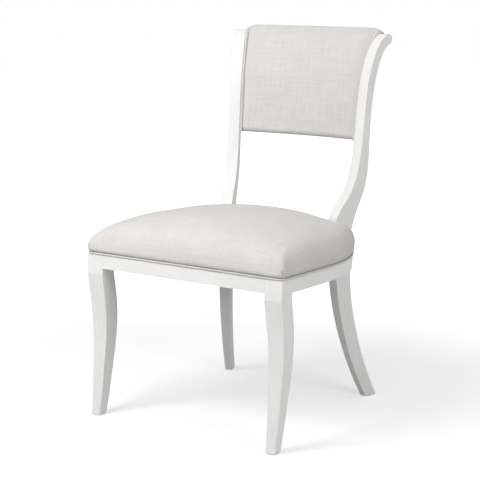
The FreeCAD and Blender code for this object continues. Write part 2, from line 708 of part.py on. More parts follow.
COVER_BOTTOM = RAIL_TOP + S.welt_diameter + S.soft_gap
UNDER_COVER = S.cover_thickness + S.soft_gap
UNDER_WADDING = UNDER_COVER + S.wadding_thickness
deck_room = frame_prism(-S.deck_inset + S.soft_gap, RAIL_TOP, S.lining_thickness + S.deck_thickness)
cover_solid = cushion(0, COVER_BOTTOM)
seat_cover_shape = cover_solid.cut(cushion(S.cover_thickness, RAIL_TOP)).cut(CUSHION_NOTCH)
seat_wadding_shape = cushion(UNDER_COVER, COVER_BOTTOM + S.soft_gap)
seat_wadding_shape = seat_wadding_shape.cut(cushion(UNDER_WADDING, DECK_TOP - S.soft_gap))
seat_wadding_shape = seat_wadding_shape.cut(deck_room).cut(CUSHION_NOTCH)
foam_drop = UNDER_WADDING + S.soft_gap
seat_foam_shape = cushion(foam_drop, DECK_TOP).cut(CUSHION_NOTCH)


def seat_welt():
    path = cushion_outline(S.cushion_bulge - S.welt_diameter / 2)
    path.translate(UP * (RAIL_TOP + S.welt_diameter / 2 + S.soft_gap / 2))
    start = path.Edges[0]
    point = start.valueAt(start.FirstParameter)
    along = start.tangentAt(start.FirstParameter)
    ring = Part.Wire(Part.makeCircle(S.welt_diameter / 2, point, along))
    return path.makePipeShell([ring], True, True)


# Back pad: layers turned about an upright axis in front of the chair

def reach_at(table, share):
    """How far back an edge of the post lies at a share of its rise. The end stretches run on past the table."""
    pairs = sorted(table)
    last = len(pairs) - 2
    index = next((number for number in range(last) if share <= pairs[number + 1][0]), last)
    (low, low_reach), (high, high_reach) = pairs[index:index + 2]
    return low_reach + (high_reach - low_reach) * (share - low) / (high - low)


def share_of(height):
    return (height - RAIL_TOP) / S.post_rise


pad_share = share_of(PAD_BOTTOM)
pad_side = PLANK.multVec(Vector(reach_at(POST_FRONT, pad_share) + S.pad_set_back, S.post_width, 0))
AXIS_Y = pad_side.y - math.sqrt(S.pad_curve_radius ** 2 - pad_side.x ** 2)
AXIS = Vector(0, AXIS_Y, 0)


def turned_radius(reach, height=0):
    """A point on the post's inner face, as a point in the half plane that is turned about the axis."""
    side = PLANK.multVec(Vector(reach, S.post_width, 0)) - AXIS
    return Vector(math.hypot(side.x, side.y), 0, height)


def pad_station(table, share, shift):
    point = turned_radius(reach_at(table, share), RAIL_TOP + share * S.post_rise)
    return point + RIGHT * shift


ROLL_HEIGHT = SCROLL_HEIGHT + S.pad_roll_rise


def pad_roll(angle, inward):
    point = scroll_point(angle, S.scroll_reach + S.pad_roll_back, ROLL_HEIGHT, S.pad_roll_radius - inward)
    return turned_radius(point.x, point.z)


PAD_SHARES = (0.62, 0.712, 0.825, 0.911, 0.967)
ROLL_START, ROLL_TOP, ROLL_END = 150, 60, -40


def pad_front(inward):
    """Points up the pad's front, drawn in by a distance."""
    shares = (share_of(PAD_BOTTOM + inward),) + PAD_SHARES
    return [pad_station(POST_FRONT, share, S.pad_set_back + inward) for share in shares]


def pad_rear(inward):
    shares = (share_of(PAD_BOTTOM + inward),) + PAD_SHARES
    return [pad_station(POST_REAR, share, S.pad_rear_proud - inward) for share in shares]


PAD_DEPTH = pad_rear(0)[0].x - pad_front(0)[0].x


def pad_face(inward):
    """The pad's side profile, drawn in by a distance."""
    front = pad_front(inward)
    rear = pad_rear(inward)
    roll = [pad_roll(angle, inward) for angle in (ROLL_START, ROLL_TOP, ROLL_END)]
    return Part.Face(Part.Wire([
        spline(front + [roll[0]]),
        Part.Arc(*roll).toShape(),
        spline([roll[2]] + rear[::-1]),
        Part.makeLine(rear[0], front[0]),
    ]))


PAD_SWEEP = 20


def turned(face, shift=0):
    """A profile moved back by a shift and turned about the axis, wide enough to pass both posts."""
    shape = face.copy()
    shape.translate(RIGHT * shift)
    shape.rotate(Vector(0, 0, 0), UP, 90 - PAD_SWEEP)
    shape = shape.revolve(Vector(0, 0, 0), UP, 2 * PAD_SWEEP)
    shape.translate(AXIS)
    return shape


def between_posts(gap):
    """The room between the posts' inner faces, less a gap on each side."""
    far = S.frame_depth
    near_point = PLANK.multVec(Vector(-far / 2, S.post_width + gap, 0))
    far_point = PLANK.multVec(Vector(far, S.post_width + gap, 0))
    points = [near_point, far_point, mirror_vector(far_point), mirror_vector(near_point), near_point]
    face = Part.Face(Part.makePolygon(points))
    face.translate(UP * CROWN_EDGE)
    return face.extrude(UP * (2 * S.post_rise))


def level_band(low, high):
    wide = 2 * S.frame_depth
    return region(-wide, wide, -wide, wide, low, high - low)


PAD_TOP = ROLL_HEIGHT + S.pad_roll_radius
OUTSIDE_BACK_TOP = SCROLL_HEIGHT - S.outside_back_drop
pad_core_face = pad_face(UNDER_COVER)
pad_core = turned(pad_core_face)
RAIL_SHIFT = PAD_DEPTH - 2 * UNDER_COVER - S.back_rail_thickness
PANEL_SHIFT = PAD_DEPTH - 2 * UNDER_COVER - S.back_panel_thickness
BOTTOM_RAIL_TOP = PAD_BOTTOM + S.bottom_rail_height
TOP_RAIL_BOTTOM = PAD_TOP - S.top_rail_height


def back_layer(shift, low, high, gap):
    """The rear part of the pad's core: what is left when it is moved back by a shift."""
    layer = pad_core.common(turned(pad_core_face, shift))
    return layer.common(level_band(low, high)).common(between_posts(gap))


back_panel_shape = back_layer(PANEL_SHIFT, BOTTOM_RAIL_TOP - S.back_panel_lap,
                              TOP_RAIL_BOTTOM + S.back_panel_lap, 2 * S.soft_gap)
back_bottom_rail_shape = back_layer(RAIL_SHIFT, 0, BOTTOM_RAIL_TOP, 0).cut(back_panel_shape)
back_top_rail_shape = back_layer(RAIL_SHIFT, TOP_RAIL_BOTTOM, PAD_TOP, 0).cut(back_panel_shape)


def side_point(radius, aside, height):
    """A point at a radius from the turning axis, on an upright plane aside from the post's inner face."""
    start = PLANK.multVec(Vector(0, S.post_width + aside, 0)) - AXIS
    along = start.dot(PLANK_BACK)
    reach = -along + math.sqrt(along ** 2 - start.dot(start) + radius ** 2)
    return PLANK.multVec(Vector(reach, S.post_width + aside, 0)) + UP * height


WELT_STEPS = 20
ROLL_STEPS = 4


def back_welt():
    """A cord up the pad's front edge and over its roll, half buried, beside the post's inner face."""
    aside = S.soft_gap + S.back_welt_diameter / 2
    face_edge = spline(pad_front(0) + [pad_roll(ROLL_START, 0)])
    stations = face_edge.discretize(WELT_STEPS)
    for step in range(1, ROLL_STEPS + 1):
        stations.append(pad_roll(ROLL_START + (ROLL_TOP - ROLL_START) * step / ROLL_STEPS, 0))
    path = Part.Wire(spline([side_point(point.x, aside, point.z) for point in stations]))
    start = path.Edges[0]
    ring = Part.Wire(Part.makeCircle(S.back_welt_diameter / 2, start.valueAt(start.FirstParameter),
                                     start.tangentAt(start.FirstParameter)))
    return path.makePipeShell([ring], True, True)


back_welt_right = feature("back_welt_right", back_welt())
back_welt_left = mirrored("back_welt_left", back_welt_right)
WELT_BED = S.soft_gap + S.back_welt_diameter / 2
welt_room = turned(pad_face(0)).cut(turned(pad_face(WELT_BED))).cut(turned(pad_face(0), PAD_DEPTH / 2))
welt_room = welt_room.cut(between_posts(2 * WELT_BED))

rail_room_bottom = back_layer(RAIL_SHIFT - S.soft_gap, 0, BOTTOM_RAIL_TOP + S.soft_gap, 0)
rail_room_top = back_layer(RAIL_SHIFT - S.soft_gap, TOP_RAIL_BOTTOM - S.soft_gap, PAD_TOP, 0)
panel_room = back_layer(PANEL_SHIFT - S.soft_gap, BOTTOM_RAIL_TOP - S.back_panel_lap, PAD_TOP, 0)
pad_room = between_posts(S.soft_gap)
back_foam_shape = pad_core.common(pad_room).cut(rail_room_bottom).cut(rail_room_top).cut(panel_room)
back_foam_shape = back_foam_shape.cut(welt_room)

pad_shell = turned(pad_face(0)).cut(turned(pad_face(S.cover_thickness))).common(pad_room)
rear_half = turned(pad_face(0), PAD_DEPTH / 2)
rear_room = rear_half.common(level_band(PAD_BOTTOM + S.cover_thickness, OUTSIDE_BACK_TOP + S.soft_gap))
outside_back_shape = pad_shell.common(rear_half).common(
    level_band(PAD_BOTTOM + S.cover_thickness, OUTSIDE_BACK_TOP))
back_cover_shape = pad_shell.cut(rear_room).cut(welt_room)

# Dowels from the back rails into the posts


def rail_middle(height):
    """The radius of a back rail's middle at a height."""
    share = share_of(height)
    rear = pad_station(POST_REAR, share, S.pad_rear_proud - UNDER_COVER)
    return rear.x - S.back_rail_thickness / 2


def back_dowel_places(rail_height):
    places = []
    for level in (-1, 1):
        height = rail_height + level * S.back_dowel_spacing / 2
        middle = side_point(rail_middle(height), 0, height)
        places.append((middle + PLANK_IN * (S.back_dowel_length / 2), PLANK_IN * -1))
    return places


LOWER_DOWEL_MIDDLE = PAD_BOTTOM + (S.bottom_rail_height - S.back_panel_lap) / 2
UPPER_DOWEL_MIDDLE = TOP_RAIL_BOTTOM + S.back_panel_lap + S.back_dowel_diameter + S.back_dowel_spacing / 2
back_rail_dowels, back_dowel_holes = pins("back_rail_dowels", "back_dowel", both_sides(
    back_dowel_places(LOWER_DOWEL_MIDDLE) + back_dowel_places(UPPER_DOWEL_MIDDLE)))

rear_leg_post_right = cut("rear_leg_post_right", rear_leg_blank, rear_leg_holes, block_screw_holes,
                          back_dowel_holes, glide_hole("rear_glide_hole", REAR_FOOT))
rear_leg_post_left = mirrored("rear_leg_post_left", rear_leg_post_right)
back_bottom_rail = cut("back_bottom_rail", feature("bottom_rail_blank", back_bottom_rail_shape),
                       back_dowel_holes)
back_top_rail = cut("back_top_rail", feature("top_rail_blank", back_top_rail_shape), back_dowel_holes)

NODES = [
    front_leg_right, front_leg_left, front_rail, side_rail_right, side_rail_left, rear_corner_rail_right,
    rear_corner_rail_left, rear_rail, corner_block_front_right, corner_block_front_left, corner_block_rear_right,
    corner_block_rear_left, front_rail_dowels, side_rail_dowels, corner_rail_dowels, rear_leg_dowels,
    seat_fixing_screws, corner_block_screws, rear_leg_post_right, rear_leg_post_left, glide_front_right,
    glide_front_left, glide_rear_right, glide_rear_left, seat_dust_cover, seat_deck,
    feature("seat_foam", seat_foam_shape), feature("seat_wadding", seat_wadding_shape),
    feature("seat_cover", seat_cover_shape), feature("seat_welt", seat_welt()), back_bottom_rail, back_top_rail,
    feature("back_panel", back_panel_shape), back_rail_dowels, feature("back_foam", back_foam_shape),
    feature("back_cover", back_cover_shape), feature("outside_back", outside_back_shape), back_welt_right,
    back_welt_left,
]

doc.recompute()
for item in doc.Objects:
    if "Invalid" in item.State or "Error" in item.State:
        raise SystemExit(f"{item.Label} failed: {item.getStatusString()}")
for item in NODES:
    if item.Shape.isNull() or not item.Shape.isValid():
        raise SystemExit(f"{item.Label} has no valid shape")

os.makedirs("parts", exist_ok=True)
for item in NODES:
    item.Shape.exportStep(f"parts/{item.Label}.step")
    box = item.Shape.BoundBox
    print(f"{item.Label:26s} solids {len(item.Shape.Solids)} volume {item.Shape.Volume / 1000:.1f} cm3"
          f" z {box.ZMin:.1f} {box.ZMax:.1f}")
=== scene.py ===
import json
import math

import bpy
import numpy as np
from mathutils import Matrix, Vector


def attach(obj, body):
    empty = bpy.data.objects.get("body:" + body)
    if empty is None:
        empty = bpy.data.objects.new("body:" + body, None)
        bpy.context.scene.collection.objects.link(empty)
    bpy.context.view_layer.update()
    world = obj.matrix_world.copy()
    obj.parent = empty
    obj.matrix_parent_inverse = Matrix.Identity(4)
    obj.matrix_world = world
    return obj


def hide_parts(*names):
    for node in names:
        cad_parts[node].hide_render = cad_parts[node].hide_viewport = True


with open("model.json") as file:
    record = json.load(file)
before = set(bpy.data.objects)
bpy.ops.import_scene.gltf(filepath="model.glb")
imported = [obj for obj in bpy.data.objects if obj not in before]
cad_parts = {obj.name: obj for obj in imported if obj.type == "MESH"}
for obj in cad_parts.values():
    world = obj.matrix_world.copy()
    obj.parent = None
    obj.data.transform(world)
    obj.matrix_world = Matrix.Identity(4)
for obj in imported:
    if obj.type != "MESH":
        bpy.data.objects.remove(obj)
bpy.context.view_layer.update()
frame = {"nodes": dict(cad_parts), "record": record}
SCENE = bpy.context.scene
MM = 0.001

# Sizes in millimetres, as in the solids
FRONT_Y = -320.7
RAIL_TOP = 410.0
FRONT_HALF = 275.5
WIDEST_X = 281.0
FRAME_DEPTH = 533.0
WIDEST_Y = FRONT_Y + 0.45 * FRAME_DEPTH
SHOULDER_X = 242.0
SHOULDER_Y = FRONT_Y + FRAME_DEPTH - 123.0
BACK_Y = FRONT_Y + FRAME_DEPTH
REAR_CORNER = 60.0
MIDDLE_Y = FRONT_Y + FRAME_DEPTH / 2
CUSHION_CORNER = 12.0
BULGE = 3.4
CROWN_EDGE = 447.7
FRONT_BOW = 14.0
SIDE_BOW = 24.1
CROWN_RISE = 33.0
SEAT_TILT = 7.5
CROWN_POWER = 3
WELT_TOP = 415.0
SEAT_CORD = 2.4
SEAT_CORD_OUT = 0.5
SEAT_CORD_HEIGHT = RAIL_TOP + 3.0
POST_TURN = math.radians(20.5)
POST_X = 177.6
POST_Y = FRONT_Y + FRAME_DEPTH - 87.8
POST_WIDTH = 32.0
POST_DEPTH = 60.0
POST_GAP = 2.0
POST_RISE = 533.5
SCROLL_REACH = 152.0
SCROLL_HEIGHT = RAIL_TOP + POST_RISE
PAD_BOTTOM = SCROLL_HEIGHT - 260.5
PAD_RADIUS = 700.0
ROLL_REACH = SCROLL_REACH + 5.0
ROLL_HEIGHT = SCROLL_HEIGHT + 14.5
ROLL_RADIUS = 14.0
PAD_SHOULDER = 32.0
PAD_SHOULDER_DROP = 15.0
PAD_BEHIND_POST = 4.0
PAD_PAST_POST = 1.0
PAD_SIDE_GAP = 0.35
BACK_CORD = 3.7
BACK_CORD_PROUD = 0.8
BACK_CORD_ASIDE = 3.8
POST_FRONT = ((0.199, 13.8), (0.255, 38.0), (0.311, 54.0), (0.397, 66.9), (0.525, 76.0), (0.712, 83.2),
              (0.825, 91.7), (0.911, 105.1), (0.967, 119.0))
POST_REAR = ((0.135, 57.4), (0.193, 69.2), (0.249, 83.2), (0.306, 93.2), (0.393, 99.7), (0.525, 100.9),
             (0.656, 103.6), (0.769, 109.4), (0.853, 118.5), (0.911, 129.3), (0.967, 148.6))


# Curves and meshes

def smooth_curve(points, count):
    """A natural cubic curve through points, sampled at even steps of its chord length."""
    points = np.array(points, float)
    along = np.concatenate(([0.0], np.cumsum(np.linalg.norm(np.diff(points, axis=0), axis=1))))
    size = len(along)
    step = np.diff(along)
    matrix = np.eye(size)
    right = np.zeros_like(points)
    for i in range(1, size - 1):
        matrix[i, i - 1:i + 2] = step[i - 1], 2 * (step[i - 1] + step[i]), step[i]
        right[i] = 6 * ((points[i + 1] - points[i]) / step[i] - (points[i] - points[i - 1]) / step[i - 1])
    bend = np.linalg.solve(matrix, right)
    result = []
    for value in np.linspace(0, along[-1], count):
        k = min(int(np.searchsorted(along, value, side="right")) - 1, size - 2)
        a, b, h = along[k + 1] - value, value - along[k], step[k]
        cubic = bend[k] * a ** 3 / (6 * h) + bend[k + 1] * b ** 3 / (6 * h)
        result.append(cubic + (points[k] / h - bend[k] * h / 6) * a
                      + (points[k + 1] / h - bend[k + 1] * h / 6) * b)
    return np.array(result)


def along_line(points, fractions):
    """Points at fractions of an open line's length."""
    points = np.array(points, float)
    lengths = np.concatenate(([0.0], np.cumsum(np.linalg.norm(np.diff(points, axis=0), axis=1))))
    where = np.array(fractions) * lengths[-1]
    return np.stack([np.interp(where, lengths, points[:, k]) for k in range(points.shape[1])], axis=1)


def arc(centre, radius, start, end, count):
    turns = np.linspace(start, end, count)
    return np.stack([centre[0] + radius * np.cos(turns), centre[1] + radius * np.sin(turns)], axis=1)


def mesh_object(name, points, faces, uvs):
    """A smooth mesh from points in millimetres. uvs is one pair per point, in metres of cloth."""
    mesh = bpy.data.meshes.new(name)
    mesh.from_pydata([tuple(p) for p in np.asarray(points, float) * MM], [], [tuple(f) for f in faces])
    mesh.validate()
    mesh.polygons.foreach_set("use_smooth", [True] * len(mesh.polygons))
    layer = mesh.uv_layers.new(name="cloth")
    loops = np.zeros(len(mesh.loops), int)
    mesh.loops.foreach_get("vertex_index", loops)
    layer.data.foreach_set("uv", np.asarray(uvs, np.float32)[loops].ravel())
    mesh.update()
    item = bpy.data.objects.new(name, mesh)
    SCENE.collection.objects.link(item)
    return item


def subdivide(item, levels):
    modifier = item.modifiers.new("smooth", "SUBSURF")
    modifier.levels = levels
    modifier.render_levels = levels
    modifier.uv_smooth = "PRESERVE_BOUNDARIES"


def wave_noise(points, scale, seed, count=10):
    """Smooth noise between about -1 and 1: a sum of plane waves with fixed random directions."""
    rng = np.random.default_rng(seed)
    total = np.zeros(len(points))
    for _ in range(count):
        direction = rng.normal(size=points.shape[1])
        direction *= 2 * math.pi / (scale * rng.uniform(0.7, 1.5)) / np.linalg.norm(direction)
        total += np.sin(points @ direction + rng.uniform(0, 2 * math.pi))
    return total / math.sqrt(count / 2)


# Seat outline

FRONT_CORNER_POINTS = 13
REAR_CORNER_POINTS = 41
SIDE_POINTS = 60


def seat_outline(outward):
    """The right half of the seat's outline in three stretches, from the front's middle to the back's."""
    swell = WIDEST_X - FRONT_HALF
    run = WIDEST_Y - FRONT_Y
    swell_radius = (swell ** 2 + run ** 2) / (2 * swell)
    swell_centre = (WIDEST_X - swell_radius, WIDEST_Y)
    corner_y = FRONT_Y + CUSHION_CORNER
    corner_turn = math.asin((corner_y - WIDEST_Y) / (swell_radius - CUSHION_CORNER))
    corner_x = swell_centre[0] + (swell_radius - CUSHION_CORNER) * math.cos(corner_turn)
    narrowing = WIDEST_X - SHOULDER_X
    run = SHOULDER_Y - WIDEST_Y
    side_radius = (narrowing ** 2 + run ** 2) / (2 * narrowing)
    turn = math.asin(run / side_radius)
    side_centre = (WIDEST_X - side_radius, WIDEST_Y)
    direction = np.array((-math.sin(turn), math.cos(turn)))
    out = np.array((math.cos(turn), math.sin(turn)))
    shoulder = np.array((SHOULDER_X, SHOULDER_Y))
    corner = shoulder + direction * (BACK_Y - SHOULDER_Y) / direction[1]
    tangent = REAR_CORNER * math.tan((math.pi / 2 - turn) / 2)
    rear_start = corner - direction * tangent
    rear_centre = rear_start - out * REAR_CORNER
    front_corner = arc((corner_x, corner_y), CUSHION_CORNER + outward, -math.pi / 2, corner_turn,
                       FRONT_CORNER_POINTS)
    rear_corner = arc(rear_centre, REAR_CORNER + outward, turn, math.pi / 2, REAR_CORNER_POINTS)
    front = np.array(((0.0, FRONT_Y - outward), (corner_x, FRONT_Y - outward)))
    swell_arc = arc(swell_centre, swell_radius + outward, corner_turn, 0, SIDE_POINTS)
    side_arc = arc(side_centre, side_radius + outward, 0, turn, SIDE_POINTS)
    straight = np.array((shoulder + out * outward, rear_start + out * outward))
    back = np.array((rear_centre + np.array((0, REAR_CORNER + outward)), (0.0, BACK_Y + outward)))
    half = len(front_corner) // 2 + 1
    rear_half = len(rear_corner) // 2 + 1
    return {
        "front": np.vstack((front[:-1], front_corner[:half])),
        "side": np.vstack((front_corner[half - 1:], swell_arc[1:], side_arc[1:], straight[1:],
                           rear_corner[1:rear_half])),
        "back": np.vstack((rear_corner[rear_half - 1:], back[1:])),
    }


def mirrored(points):
    return np.asarray(points) * np.array((-1.0, 1.0) + (1.0,) * (np.asarray(points).shape[1] - 2))


def closed_outline(outward):
    half = seat_outline(outward)
    right = np.vstack((half["front"], half["side"][1:], half["back"][1:]))
    return np.vstack((right, mirrored(right)[::-1][1:-1]))


def spread(total, close, step):
    """Fractions of a side, close together at both ends."""
    near = np.array(close, float)
    middle = total - 2 * near[-1]
    count = max(2, int(round(middle / step)))
    inner = np.linspace(near[-1], total - near[-1], count + 1)[1:-1]
    return np.concatenate((near, inner, total - near[::-1])) / total


def crown(x, y):
    """The cushion's height above the floor."""
    across = 1 - (x / (WIDEST_X + BULGE)) ** 2
    along = (y - MIDDLE_Y) / (FRAME_DEPTH / 2 + BULGE)
    dome = (SIDE_BOW + CROWN_RISE * across) * (1 - np.abs(along) ** CROWN_POWER)
    return CROWN_EDGE + FRONT_BOW * across + dome - SEAT_TILT * along


def nearest_on(points, line):
    """Distance to a closed line, and the outward direction there, for points inside it."""
    ends = np.roll(line, -1, axis=0)
    spans = ends - line
    lengths = (spans ** 2).sum(1)
    distance = np.empty(len(points))
    outward = np.empty((len(points), 2))
    for index, point in enumerate(points):
        share = np.clip(((point - line) * spans).sum(1) / lengths, 0, 1)
        near = line + spans * share[:, None]
        gap = near - point
        squared = (gap ** 2).sum(1)
        best = int(squared.argmin())
        distance[index] = math.sqrt(squared[best])
        span = spans[best] / math.sqrt(lengths[best])
        outward[index] = (span[1], -span[0])
    return distance, outward


# Cloth

def inflate(item, pinned, pressure, cap, frames=20):
    """Puffs a mesh with Blender's cloth, holds the pinned points, and limits how far any point moves."""
    group = item.vertex_groups.new(name="held")
    group.add([int(i) for i in pinned], 1.0, "REPLACE")
    modifier = item.modifiers.new("cloth", "CLOTH")
    cloth = modifier.settings
    cloth.quality = 6
    cloth.mass = 0.25
    cloth.tension_stiffness = 40
    cloth.compression_stiffness = 40
    cloth.shear_stiffness = 20
    cloth.bending_stiffness = 2
    cloth.air_damping = 4
    cloth.use_pressure = True
    cloth.uniform_pressure_force = pressure
    cloth.vertex_group_mass = group.name
    cloth.effector_weights.gravity = 0
    modifier.collision_settings.use_collision = False
    modifier.collision_settings.use_self_collision = False
    modifier.point_cache.frame_start = 1
    modifier.point_cache.frame_end = frames
    before = np.zeros(len(item.data.vertices) * 3)
    item.data.vertices.foreach_get("co", before)
    before = before.reshape(-1, 3)
    for number in range(1, frames + 1):
        SCENE.frame_set(number)
    graph = bpy.context.evaluated_depsgraph_get()
    puffed = np.zeros(len(item.data.vertices) * 3)
    item.evaluated_get(graph).data.vertices.foreach_get("co", puffed)
    move = puffed.reshape(-1, 3) - before
    size = np.linalg.norm(move, axis=1)
    limit = cap * MM
    soft = limit * np.tanh(size / limit)
    move *= (soft / np.maximum(size, 1e-9))[:, None]
    item.modifiers.remove(modifier)
    item.vertex_groups.remove(group)
    item.data.vertices.foreach_set("co", (before + move).ravel())
    item.data.update()
    SCENE.frame_set(1)


# Seat cushion

CLOSE = (0.0, 1.2, 2.8, 5.0, 7.8, 11.2, 15.4, 20.4, 26.4, 33.5, 41.5)
CUSHION_STEP = 8.5
CUSHION_SPAN = 560.0
SHOULDER_ROUND = 34.0
WALL = ((0.85, 0.5), (0.68, 0.7), (0.52, 0.4), (0.37, -0.5), (0.23, -2.0), (0.1, -3.9), (0.0, -5.2))
BASE_INSET = 10.5
BASE_HEIGHT = 423.3
TUCK = ((9.0, 415.6), (BASE_INSET, BASE_HEIGHT))
CORNER_REACH = 42.0
CORNER_LIFT = 9.0
CORNER_FULLNESS = 0.15
EASE_GAIN = 1.6
EASE_MOST = 0.9
EASE_ROUNDS = 10
CREASE_DEPTH = 3.5
CREASE_REACH = 9.0
DIMPLE_DEPTH = 2.0
DIMPLE_REACH = 30.0
UNEVEN = 0.5
UNEVEN_SCALE = 130.0
UNEVEN_EDGE = 60.0
PUCKER = 0.35
PUCKER_SCALE = 26.0
MEAN_RADIUS = 350.0
HELD_RINGS = 3
HELD_BY_POST = 4.0
CUSHION_PRESSURE = 4.0
CUSHION_PUFF = 3.0
PLEAT = {0: -1.0, 1: 1.5, -1: 1.9, 2: 1.7, -2: 1.9, 3: 1.5, -3: 1.5, 4: 1.1, -4: 1.1, 5: 0.6, -5: 0.6}
PLEAT_STEPS = 5
PLEAT_TOP = 0.9


def coons(front, back, left, right):
    """A grid that fills four sides. Rows run from the front to the back."""
    lengths = np.cumsum(np.r_[0, np.linalg.norm(np.diff(front, axis=0), axis=1)])
    across = lengths / lengths[-1]
    lengths = np.cumsum(np.r_[0, np.linalg.norm(np.diff(left, axis=0), axis=1)])
    along = lengths / lengths[-1]
    a = across[None, :, None]
    b = along[:, None, None]
    ruled = (1 - b) * front[None] + b * back[None] + (1 - a) * left[:, None] + a * right[:, None]
    corners = ((1 - a) * (1 - b) * front[0] + a * (1 - b) * front[-1]
               + (1 - a) * b * back[0] + a * b * back[-1])
    return ruled - corners


def seat_sides(outward):
    """The front, back, left and right sides of the outline, closely divided at the corners."""
    half = seat_outline(outward)
    front = np.vstack((mirrored(half["front"])[::-1], half["front"][1:]))
    back = np.vstack((mirrored(half["back"]), half["back"][::-1][1:]))
    shares = spread(CUSHION_SPAN, CLOSE, CUSHION_STEP)
    right = along_line(half["side"], shares)
    return along_line(front, shares), along_line(back, shares), mirrored(right), right


def plank_point(reach, aside, height=0.0):
    """A point in the right post's upright plane, in the row frame."""
    back = np.array((math.sin(POST_TURN), math.cos(POST_TURN), 0))
    inward = np.array((-math.cos(POST_TURN), math.sin(POST_TURN), 0))
    return np.array((POST_X, POST_Y, height)) + back * reach + inward * aside


def post_distance(points):
    """Level distance from the nearer post's section at the seat."""
    back = np.array((math.sin(POST_TURN), math.cos(POST_TURN)))
    inward = np.array((-math.cos(POST_TURN), math.sin(POST_TURN)))
    local = np.column_stack((np.abs(points[:, 0]), points[:, 1])) - np.array((POST_X, POST_Y))
    reach = local @ back
    aside = local @ inward
    gap_reach = np.maximum(np.maximum(-POST_GAP - reach, reach - POST_DEPTH), 0)
    gap_aside = np.maximum(np.maximum(-aside, aside - POST_WIDTH), 0)
    return np.hypot(gap_reach, gap_aside)


def grid_faces(rows, columns, start=0, flip=False):
    faces = []
    for r in range(rows - 1):
        for c in range(columns - 1):
            a = start + r * columns + c
            face = (a, a + 1, a + columns + 1, a + columns)
            faces.append(face[::-1] if flip else face)
    return faces


def border(rows, columns, start=0):
    """Indices round a grid's border, counter-clockwise seen from above."""
    front = [start + c for c in range(columns)]
    right = [start + r * columns + columns - 1 for r in range(1, rows)]
    back = [start + (rows - 1) * columns + c for c in range(columns - 2, -1, -1)]
    left = [start + r * columns for r in range(rows - 2, 0, -1)]
    return front + right + back + left


def relax(height, grid, share, times):
    """Evens a grid's heights where a share is high. Nearer neighbours weigh more."""
    rows, columns = grid.shape[:2]
    height = height.reshape(rows, columns).copy()
    share = share.reshape(rows, columns)[1:-1, 1:-1]
    across = 1 / np.linalg.norm(np.diff(grid, axis=1), axis=2)
    along = 1 / np.linalg.norm(np.diff(grid, axis=0), axis=2)
    left, right = across[1:-1, :-1], across[1:-1, 1:]
    front, back = along[:-1, 1:-1], along[1:, 1:-1]
    for _ in range(times):
        even = (left * height[1:-1, :-2] + right * height[1:-1, 2:]
                + front * height[:-2, 1:-1] + back * height[2:, 1:-1]) / (left + right + front + back)
        height[1:-1, 1:-1] += share * (even - height[1:-1, 1:-1])
    return height.ravel()


def ring_faces(above, below):
    """Faces between two closed rings of as many points."""
    count = len(above)
    return [(above[(k + 1) % count], above[k], below[k], below[(k + 1) % count]) for k in range(count)]


def cushion_top(grid, rim):
    """The top's points and cloth coordinates, the outward directions, and the distances from the posts."""
    flat = grid.reshape(-1, 2)
    distance, outward = nearest_on(flat, closed_outline(BULGE))
    distance[rim] = 0.0
    inside = np.clip(SHOULDER_ROUND - distance, 0, SHOULDER_ROUND)
    drop = SHOULDER_ROUND - np.sqrt(SHOULDER_ROUND ** 2 - inside ** 2)
    from_corner = (np.abs(flat[:, 0]) - FRONT_HALF) ** 2 + (flat[:, 1] - FRONT_Y) ** 2
    corner = np.exp(-from_corner / CORNER_REACH ** 2)
    height = crown(flat[:, 0], flat[:, 1])
    height = height + CORNER_LIFT * corner - drop * (1 - CORNER_FULLNESS * corner)
    height = relax(height, grid, np.clip(EASE_GAIN * corner, 0, EASE_MOST), EASE_ROUNDS)
    near_post = post_distance(flat)
    crease = CREASE_DEPTH * np.exp(-(near_post / CREASE_REACH) ** 2)
    height -= crease + DIMPLE_DEPTH * np.exp(-near_post / DIMPLE_REACH)
    height += UNEVEN * wave_noise(flat, UNEVEN_SCALE, 3) * np.clip(distance / UNEVEN_EDGE, 0, 1)
    unrolled = SHOULDER_ROUND * np.arcsin(inside / SHOULDER_ROUND) - inside
    return np.column_stack((flat, height)), flat + outward * unrolled[:, None], outward, near_post


def cushion_rings(rim_points, rim_out):
    """Rings down the wall and under the edge, each as points and cloth coordinates."""
    rim_xy = rim_points[:, :2]
    rim_height = rim_points[:, 2]
    count = len(rim_points)
    shoulder_cloth = SHOULDER_ROUND * (math.pi / 2 - 1)
    turn = np.arange(count) / count * 2 * math.pi
    place = np.column_stack((np.cos(turn), np.sin(turn))) * MEAN_RADIUS
    rings = []
    for share, out in WALL:
        level = WELT_TOP + (rim_height - WELT_TOP) * share
        pull = out + PUCKER * wave_noise(place, PUCKER_SCALE, 11) * (1 - share) * (share > 0)
        ring = rim_xy + rim_out * pull.reshape(-1, 1)
        down = shoulder_cloth + (rim_height - level)
        rings.append((np.column_stack((ring, level)), rim_xy + rim_out * down[:, None]))
    for inset, level in TUCK:
        ring = rim_xy - rim_out * inset
        rings.append((np.column_stack((ring, np.full(count, level))), ring))
    return rings


